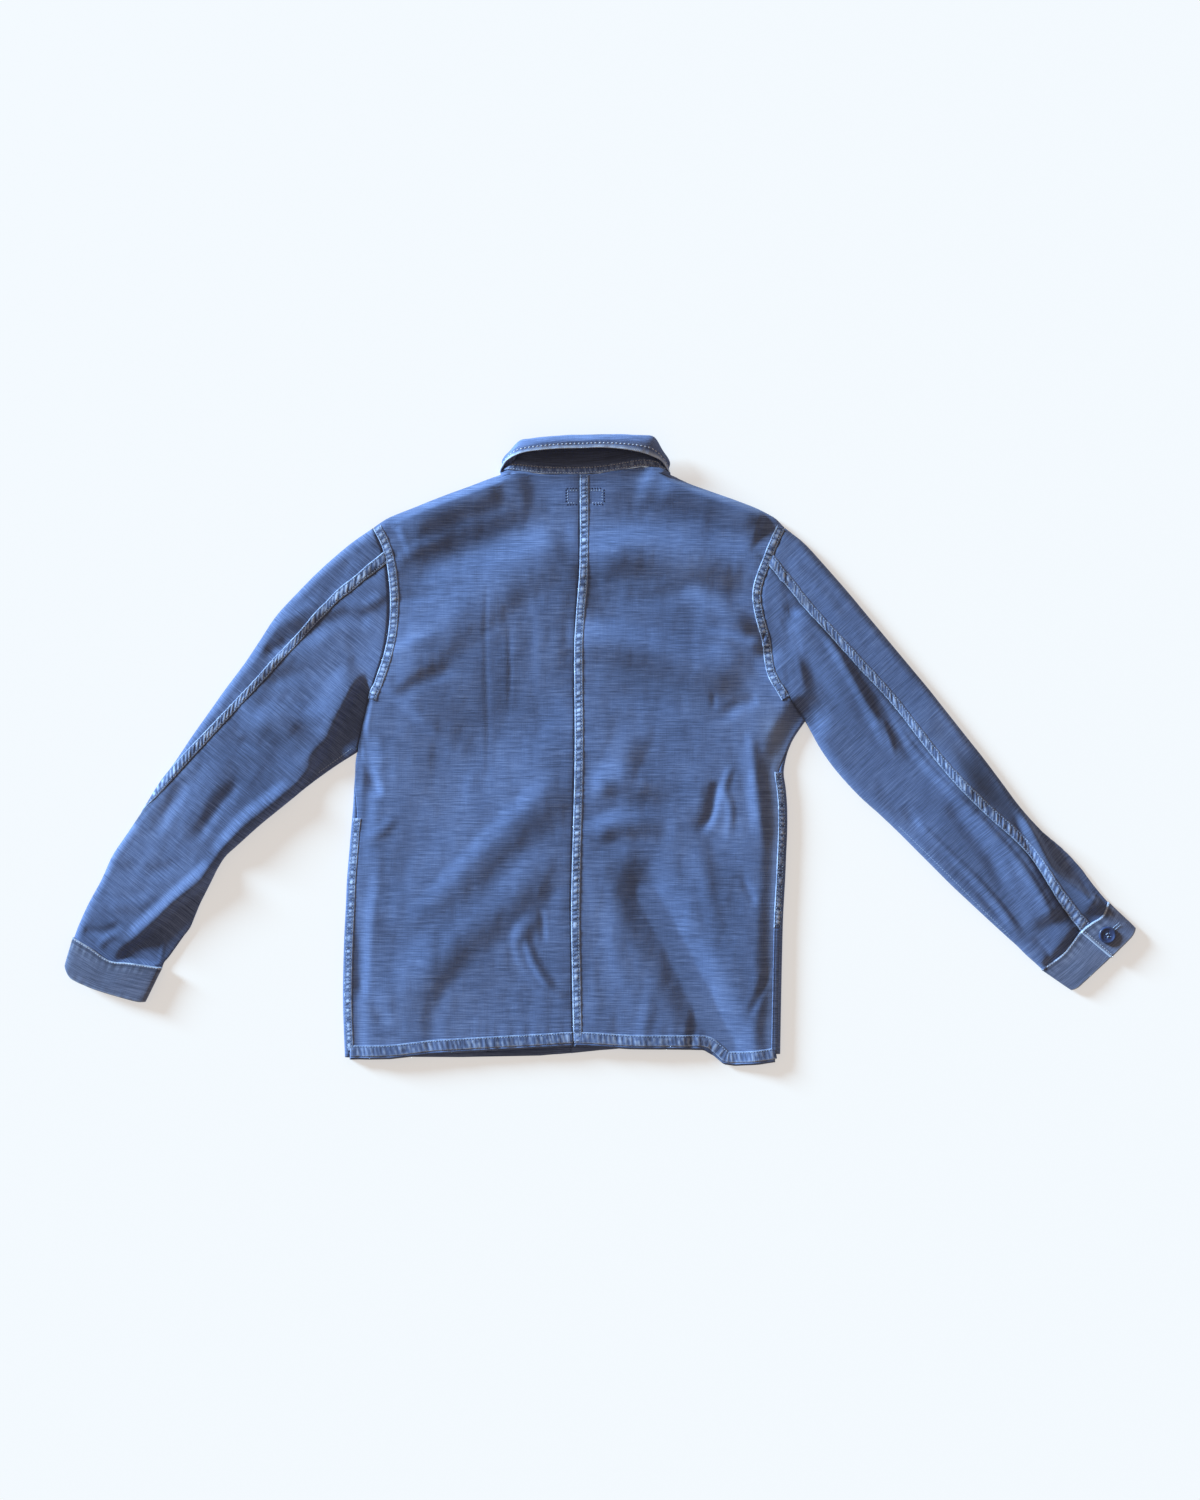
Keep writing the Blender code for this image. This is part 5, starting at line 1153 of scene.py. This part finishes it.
def collar():
    """The stand, the fall, and the neck seam's band with its rows of stitches."""
    stations = np.array(collar_side(LEFT)[::-1] + collar_side(RIGHT)[1:], float)
    middle = len(stations) // 2
    for k, places in COLLAR_FIT.items():
        for j, place in places.items():
            stations[middle + k, j, :2] = place
    neck, stand_end, outer, crown, free = (stations[:, j] for j in range(5))
    behind = (np.abs(np.arange(len(stations)) - middle) < 7)[:, None]
    stand = [neck + (stand_end - neck) * t for t in (0.0, 0.33, 0.66, 0.95)]
    stand.append(stand_end + ((outer - stand_end) * 0.5 - np.array([0, 0, 1.5])) * behind)
    way = outer - stand_end
    start = stand_end + way * (1.3 / np.linalg.norm(way * TO_MM, axis=1))[:, None]
    fall = [start, start + 0.5 * (outer - start) - 0.10 * way * np.array([0, 0, 1]), outer,
            outer + 0.5 * (crown - outer) + 0.16 * way * np.array([1, 1, 0.4]), crown,
            crown + 0.5 * (free - crown), free]
    stand, fall = along_grid(np.stack(stand, 1), 7, 4), along_grid(np.stack(fall, 1), 7, 5)

    def measured(grid):
        run, q = row_runs(grid), grid * TO_MM
        s = np.repeat(run_of(q[:, q.shape[1] // 2])[:, None], q.shape[1], 1)
        return q, s, run, np.stack([s / 1000 + 12, run / 1000], -1)

    q, s, run, uv = measured(stand)
    # darker away from the neck seam: painted shade under the fall; the ripple near the seam is
    # puckering
    wear_and_painted_shade = 0.25 * ripple(s, 9.0, 57) * gauss(run, 7.0) - 0.55 * smooth(7, 14, run)
    stand_ob = cloth("collar_stand_cloth", stand, COLLAR_WALL, SHADED_COLLAR_MAT, uv, wear_and_painted_shade,
                     (len(stand) // 2, 3, True))[0]

    inner = stand[46:-46]
    w = np.linspace(0.3, 9.0, BAND_COLUMNS)
    grid = denser(np.array([pick(row, r, w) for row, r in zip(inner, row_runs(inner))]))
    p = metres(grid)
    neck_band = band("neck_seam", p, upward(normals_of(p)), run_of(grid[:, 0] * TO_MM), 8.7, 81,
                     worn=(0.9, 0.2), pucker=0.18, ticks=0.4, material=SHADED_COLLAR_MAT)

    q, s, run, uv = measured(fall)
    row, column = len(q) // 2, 26
    nrm = normals_of(q)
    if nrm[row, column, 2] < 0:
        nrm = -nrm
    edge, k = run[:, -1:] - run, run / run[:, -1:]
    puff = 0.30 * noise(s / 34, k * 2.2, 51) + 0.22 * noise(s / 12, k * 3.1, 52) \
        + 0.30 * ripple(s, 12.0, 53) * gauss(edge, 6.0)
    fall = fall + nrm * (puff * smooth(0.05, 0.3, k))[..., None] / TO_MM
    dashes = np.clip(ripple(s, 6.0, 55), 0, 1)
    wear_and_painted_shade = 2.0 * gauss(edge, 2.3) * uneven(s, 6.0, 54) + 0.22 * gauss(edge - 3.0, 2.4) \
        + (1.1 * dashes - 0.35) * gauss(edge - 6.2, 1.5)
    return stand_ob, cloth("collar_fall_cloth", fall, COLLAR_WALL, LIT_FALL_MAT, uv, wear_and_painted_shade,
                           (row, column, True)), neck_band


def cuff(name, left):
    """A buttoned cuff, as a strip round its path."""
    shape, rows = CUFF[left], 30
    low, top, low_end, top_end = (np.array(shape[k], float)
                                  for k in ("low", "top", "low_end", "top_end"))
    path, seam = curve(CUFF_PATH[left], 5), curve(CUFF_SEAM[left], 10)[::-1]
    run = run_of(seam)
    out, q = unit((low_end - low) + (top_end - top)), path[:, 0]
    a = pick(seam, run / run[-1], q)
    b = low_end + (top_end - low_end) * q[:, None] + out * at(shape["bow"], q)[:, None]
    corner = shape["round"][1] * ramp(0.86, 1.0, q) ** 2.2 \
        + shape["round"][0] * ramp(-0.08, 0.0, -q) ** 2
    t = np.linspace(0, 1, rows)[:, None]
    cut_back = CUFF_LAP / UNIT * (1 - t) + corner * t ** 5
    mid = np.stack([a[:, k] + (b - a)[:, k] * t - out[k] * cut_back for k in (0, 1)]
                   + [np.repeat(path[None, :, 1], rows, 0)], -1)
    g = mid * TO_MM
    s = run_of(g[rows // 2])
    from_seam, to_free = t * CUFF_DEPTH, (1 - t) * CUFF_DEPTH
    rise = 0.30 * ripple(s, 11.0, 61) * gauss(to_free, 9.0) \
        + 0.35 * ripple(s, 9.0, 62) * gauss(from_seam, 8.0) + 0.3 * noise(s[None] / 18, t * 3, 63)
    mid = mid + outward(g, normals_of(g), 4) * rise[..., None] / TO_MM
    line = uneven(s, 6.0, 64)
    gathers, ends = ripple(s, 8.0, 65), np.minimum(s, s[-1] - s)
    wear_and_painted_shade = 0.8 * line * gauss(to_free, 1.3) + 1.3 * line * gauss(from_seam, 1.5) \
        - 0.55 * gauss(from_seam - 4.0, 1.5) \
        + 0.5 * np.clip(gathers, -1, 1) * gauss(from_seam - 7, 5.0) \
        + 1.3 * gauss(ends, 1.8) - 0.4 * gauss(ends - 4.5, 1.2)
    uv = np.stack(np.broadcast_arrays(s / 1000 + 15, from_seam / 1000), -1)
    return cloth(name, mid, CUFF_WALL, CUFF_MAT, uv, wear_and_painted_shade)


# ---------------------------------------------------------------- button
# radius and height, as shares of the button's; its axis closes both ends
BUTTON_PROFILE = [(0.86, 0.0), (0.95, 0.08), (1.0, 0.3), (1.0, 0.62), (0.97, 0.84), (0.90, 0.97),
                  (0.82, 1.0), (0.76, 0.95), (0.70, 0.80), (0.62, 0.70), (0.50, 0.66)]
BUTTON_SEAT = 0.66      # height of the dished middle
HOLE_PLACE, HOLE_RADIUS = 0.25, 0.10


def around_axis(count, start=0.0):
    """Places on a unit circle."""
    a = start + 2 * np.pi * np.arange(count) / count
    return np.stack([np.cos(a), np.sin(a)], -1)


def button(name, place, turn):
    """A turned four-hole button, dished, with thread through its holes."""
    c = metres(place)
    circle, size = around_axis(96), np.array([BUTTON_RADIUS, BUTTON_RADIUS, BUTTON_THICK])
    verts = [(0, 0, 0)] + [(x * r, y * r, h) for r, h in BUTTON_PROFILE for x, y in circle] \
        + [(0, 0, BUTTON_SEAT)]
    index = 1 + np.arange(len(verts) - 2).reshape(-1, len(circle))
    after = np.roll(index, -1, 1)
    faces = np.stack([index[:-1], after[:-1], after[1:], index[1:]], -1).reshape(-1, 4).tolist()
    faces += [(0, b, a) for a, b in zip(index[0].tolist(), after[0].tolist())]
    faces += [(a, b, len(verts) - 1) for a, b in zip(index[-1].tolist(), after[-1].tolist())]
    ob = mesh_object(name, c + np.array(verts) * size, faces, BUTTON)
    holes = around_axis(4, turn + math.pi / 4) * BUTTON_RADIUS * HOLE_PLACE
    cut = bmesh.new()
    for x, y in holes:
        middle = Matrix.Translation((c[0] + x, c[1] + y, c[2] + BUTTON_THICK / 2))
        bmesh.ops.create_cone(cut, cap_ends=True, segments=20, depth=BUTTON_THICK * 2,
                              radius1=BUTTON_RADIUS * HOLE_RADIUS,
                              radius2=BUTTON_RADIUS * HOLE_RADIUS, matrix=middle)
    mesh = bpy.data.meshes.new("holes")
    cut.to_mesh(mesh)
    cut.free()
    tool = bpy.data.objects.new("holes", mesh)
    bpy.context.scene.collection.objects.link(tool)
    mod = ob.modifiers.new("holes", "BOOLEAN")
    mod.operation, mod.object, mod.solver = "DIFFERENCE", tool, "EXACT"
    bpy.context.view_layer.update()
    cut_mesh = bpy.data.meshes.new_from_object(
        ob.evaluated_get(bpy.context.evaluated_depsgraph_get()))
    ob.modifiers.clear()
    ob.data = cut_mesh
    bpy.data.objects.remove(tool)
    ob.data.materials.clear()
    ob.data.materials.append(BUTTON)
    ob.data.polygons.foreach_set("use_smooth", [True] * len(ob.data.polygons))
    # thread: two bars across the holes
    verts, faces, tube = [], [], around_axis(6)
    for p0, p1 in (holes[:2], holes[2:]):
        d = unit(p1 - p0)
        side, base = np.array([-d[1], d[0]]), len(verts)
        for t in np.arange(9) / 8:
            h = BUTTON_THICK * BUTTON_SEAT + 0.00035 * math.sin(math.pi * t) \
                - 0.0004 * (abs(2 * t - 1) > 0.9)
            for x, y in tube:
                u, v = p0 + (p1 - p0) * t + side * 0.00038 * x
                verts.append((c[0] + u, c[1] + v, c[2] + h + 0.00032 * y))
        index = base + np.arange(54).reshape(9, 6)
        faces += quads(np.column_stack([index, index[:, 0]])).tolist()
        faces += [index[0, ::-1].tolist(), index[-1].tolist()]
    return ob, mesh_object(name + "_thread", verts, faces, THREAD)


# ---------------------------------------------------------------- build the scene
sewn = defaultdict(list)        # what is sewn on each cloth
HANDS = ((LEFT, "left"), (RIGHT, "right"))
sleeves = {}
for left, side in HANDS:
    sleeves[left], sewn[f"sleeve_{side}_top"] = sleeve(side, left)
backs = {left: back(f"back_{side}_cloth", left) for left, side in HANDS}
fronts = {left: front(f"front_{side}_cloth", left) for left, side in HANDS}
stand_ob, (fall_ob, fall_p, fall_n), (neck_ob, neck_lines) = collar()
cuffs = {left: cuff(f"cuff_{side}_cloth", left) for left, side in HANDS}


def cut(table, column, lo, hi):
    """The stretch of a line between two values of u or v."""
    q = resample(curve(table, 12), 0.5)
    return q[(q[:, column] > lo) & (q[:, column] < hi)]


# felled seams and hems with their stitches
HEM_LOOK = dict(wave=5.8, pucker=0.26, rows=1, worn=(1.15, 0.7), ticks=0.55)
for name, path, side, seed, owner in (
        ("centre_back_seam", cut(CENTRE_BACK, 1, 474.8, 1041.5), -1, 71, "back_right"),
        ("armhole_left_seam", cut(ARMHOLE[LEFT], 1, 529.5, 699), -1, 72, "back_left"),
        ("armhole_right_seam", cut(ARMHOLE[RIGHT], 1, 529.5, 697), 1, 73, "back_right"),
        ("hem_left", cut(HEM_BACK, 0, 350, 573.4), -1, 74, "back_left"),
        ("hem_right", cut(HEM_BACK, 0, 574.2, 777), -1, 75, "back_right")):
    width, look = (HEM_BAND, HEM_LOOK) if name.startswith("hem") else (SEAM_BAND, {})
    ob, lines = strip(name, path, side, width, seed, **look)
    sewn[owner] += [ob, stitches(name + "_stitches", lines, THREAD)]
# side seams; below the last stitches the right one is only a fold
for name, lo, hi, turn, seed, owner, ticks in (
        ("side_left_seam", 818, 1051, 1, 76, "back_left", 1.0),
        ("side_right_seam", 772, 928, -1, 77, "back_right", 1.0),
        ("side_right_low_seam", 929, 1051, -1, 78, "back_right", 0.12)):
    v = np.linspace(lo, hi, 80)
    u = at_v(curve(SIDE[turn > 0], 6), v) + 1.4 * turn
    ob, lines = strip(name, np.column_stack([u, v]), -turn, SIDE_BAND, seed, ticks=ticks,
                      pucker=0.34 * ticks, worn=(1.25 * ticks, 1.15 * ticks))
    sewn[owner].append(ob)
    if ticks == 1.0:
        sewn[owner].append(stitches(name + "_stitches", lines, THREAD))
# the stitched rectangle below the neck: a wide navy row as painted shade of its sunken line, with a
# pale row of thread inside it
for side, near_u, far_u in (("left", 577.5, 566.0), ("right", 590.5, 604.0)):
    for kind, thread, k, look in (
            ("groove", PAINTED_GROOVE_SHADE, 0.0, dict(length=3.1, wide=2.2, high=0.3)),
            ("pale", THREAD, 1.7, dict(length=1.8, wide=0.9))):
        inner, top, low = far_u + (k if side == "left" else -k), 489 + k, 505 - k
        rows = [[(near_u, top), (inner, top)], [(inner, top), (inner, low)],
                [(inner, low), (near_u, low)]]
        sewn["back_" + side].append(stitches(f"label_{kind}_{side}",
                                             [on_top(r, 0.05) for r in rows], thread, **look))
for side, path in (("left", [(318, 773), (340, 757), (352, 748)]),
                   ("right", [(898, 826), (933, 860), (981, 908), (1012, 938)])):
    row = stitches(f"underarm_stitches_{side}", [on_top(path)], THREAD)
    sewn[f"sleeve_{side}_top"].append(row)
# collar: a row along the free edge, two along the neck seam
edge = slice(40, -40), fall_p.shape[1] - 7
sewn["collar_fall"].append(stitches(
    "collar_edge_stitches", [proud(fall_p[edge], fall_n[edge], COLLAR_WALL)], THREAD_PALE,
    length=2.8, pitch=4.8, wide=1.15))
sewn["collar_stand"] += [neck_ob, stitches("neck_seam_stitches", neck_lines, THREAD_PALE)]
# cuffs: a row beside the seam, and one at the end that lies on top
for left, side in HANDS:
    ob, p, n = cuffs[left]
    lines = [proud(p[1], n[1], CUFF_WALL)]
    if not left:
        lines.append(proud(p[:, 2], n[:, 2], CUFF_WALL))
    sewn["cuff_" + side].append(stitches(f"cuff_{side}_stitches", lines, THREAD_PALE))
# the buttonhole, worked in thread, half hidden by its button
along_cuff, over_cuff = np.array([0.745, -0.667]), np.array([0.667, 0.745])
lines = [metres([(*(CUFF_BUTTON + along_cuff * k + over_cuff * off), 9.35)
                 for k in (-5.0, 17.0)]) * 1000 for off in (-1.3, 1.3)]
sewn["cuff_right"].append(stitches("buttonhole_thread", lines, THREAD, length=1.1, pitch=1.25,
                                   wide=1.0))
button_ob, button_thread = button("button_cuff", (*CUFF_BUTTON, 9.4), 0.4)

# ---------------------------------------------------------------- each piece and what is sewn on it under the root, its part from model.glb hidden
# object, node, flat size in metres, its area in square metres, how it is held, what it lies on
for ob, node, flat, area, held, rests_on in (
        (backs[LEFT], "back_left", (0.275, 0.69), 0.164, "laid", ["front_left"]),
        (backs[RIGHT], "back_right", (0.275, 0.69), 0.160, "laid", ["front_right"]),
        (fronts[LEFT], "front_left", (0.31, 0.68), 0.179, "laid", []),
        (fronts[RIGHT], "front_right", (0.28, 0.68), 0.155, "laid", ["front_left"]),
        (sleeves[LEFT][0], "sleeve_left_under", (0.17, 0.50), 0.064, "laid", []),
        (sleeves[LEFT][1], "sleeve_left_top", (0.20, 0.60), 0.086, "laid", []),
        (sleeves[RIGHT][0], "sleeve_right_under", (0.14, 0.47), 0.047, "laid", []),
        (sleeves[RIGHT][1], "sleeve_right_top", (0.22, 0.60), 0.099, "laid", []),
        (stand_ob, "collar_stand", (0.46, 0.035), None, "folded", ["back_left"]),
        (fall_ob, "collar_fall", (0.46, 0.06), None, "folded", ["collar_stand"]),
        (cuffs[LEFT][0], "cuff_left", (0.25, 0.043), None, "folded", []),
        (cuffs[RIGHT][0], "cuff_right", (0.25, 0.043), None, "folded", [])):
    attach(ob, "root")
    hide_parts(node)
    for piece in sewn[node]:
        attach(piece, "root")
    sewn[node]
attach(button_ob, "root")
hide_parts("button_cuff_right")
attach(button_thread, "root")
for name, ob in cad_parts.items():
    if name.startswith("button"):
        ob.data.materials.clear()
        ob.data.materials.append(BUTTON)

# ---------------------------------------------------------------- floor, light, camera
bpy.ops.mesh.primitive_plane_add(size=FLOOR_SIZE, location=(0, 0, FLOOR_Z))
floor = bpy.context.object
floor.name = "floor"
floor.data.materials.append(Surface("floor_white").finish(
    Base_Color=(0.42, 0.42, 0.42, 1), Emission_Color=(1, 1, 1, 1), Emission_Strength=0.52,
    Roughness=0.9, Specular_IOR_Level=0.1))

sun = bpy.data.lights.new("key", "SUN")
sun.energy, sun.color, sun.angle = KEY_POWER, KEY_COLOUR, math.radians(KEY_ANGLE)
key = bpy.data.objects.new("key", sun)
key.rotation_euler = Vector(KEY_TOWARD).to_track_quat("-Z", "Y").to_euler()
key.location = (-1, 1, 1)
bpy.context.scene.collection.objects.link(key)
world = bpy.data.worlds.new("world")
bpy.context.scene.world = world
world.use_nodes = True
background = world.node_tree.nodes["Background"].inputs
background[0].default_value = (*WORLD_COLOUR, 1)
background[1].default_value = WORLD_POWER

SENSOR, CAMERA_HEIGHT, VIEW_WIDTH = 36, 2.5, 1.74       # mm, m, m at the jacket's height
cam = bpy.data.cameras.new("camera")
cam.sensor_fit, cam.sensor_width = "AUTO", SENSOR
cam.lens = SENSOR * (CAMERA_HEIGHT - 0.008) / VIEW_WIDTH
camera = bpy.data.objects.new("camera", cam)
camera.location = (0, -0.001, CAMERA_HEIGHT)
bpy.context.scene.collection.objects.link(camera)
bpy.context.scene.camera = camera
bpy.context.scene.view_settings.view_transform = "Standard"
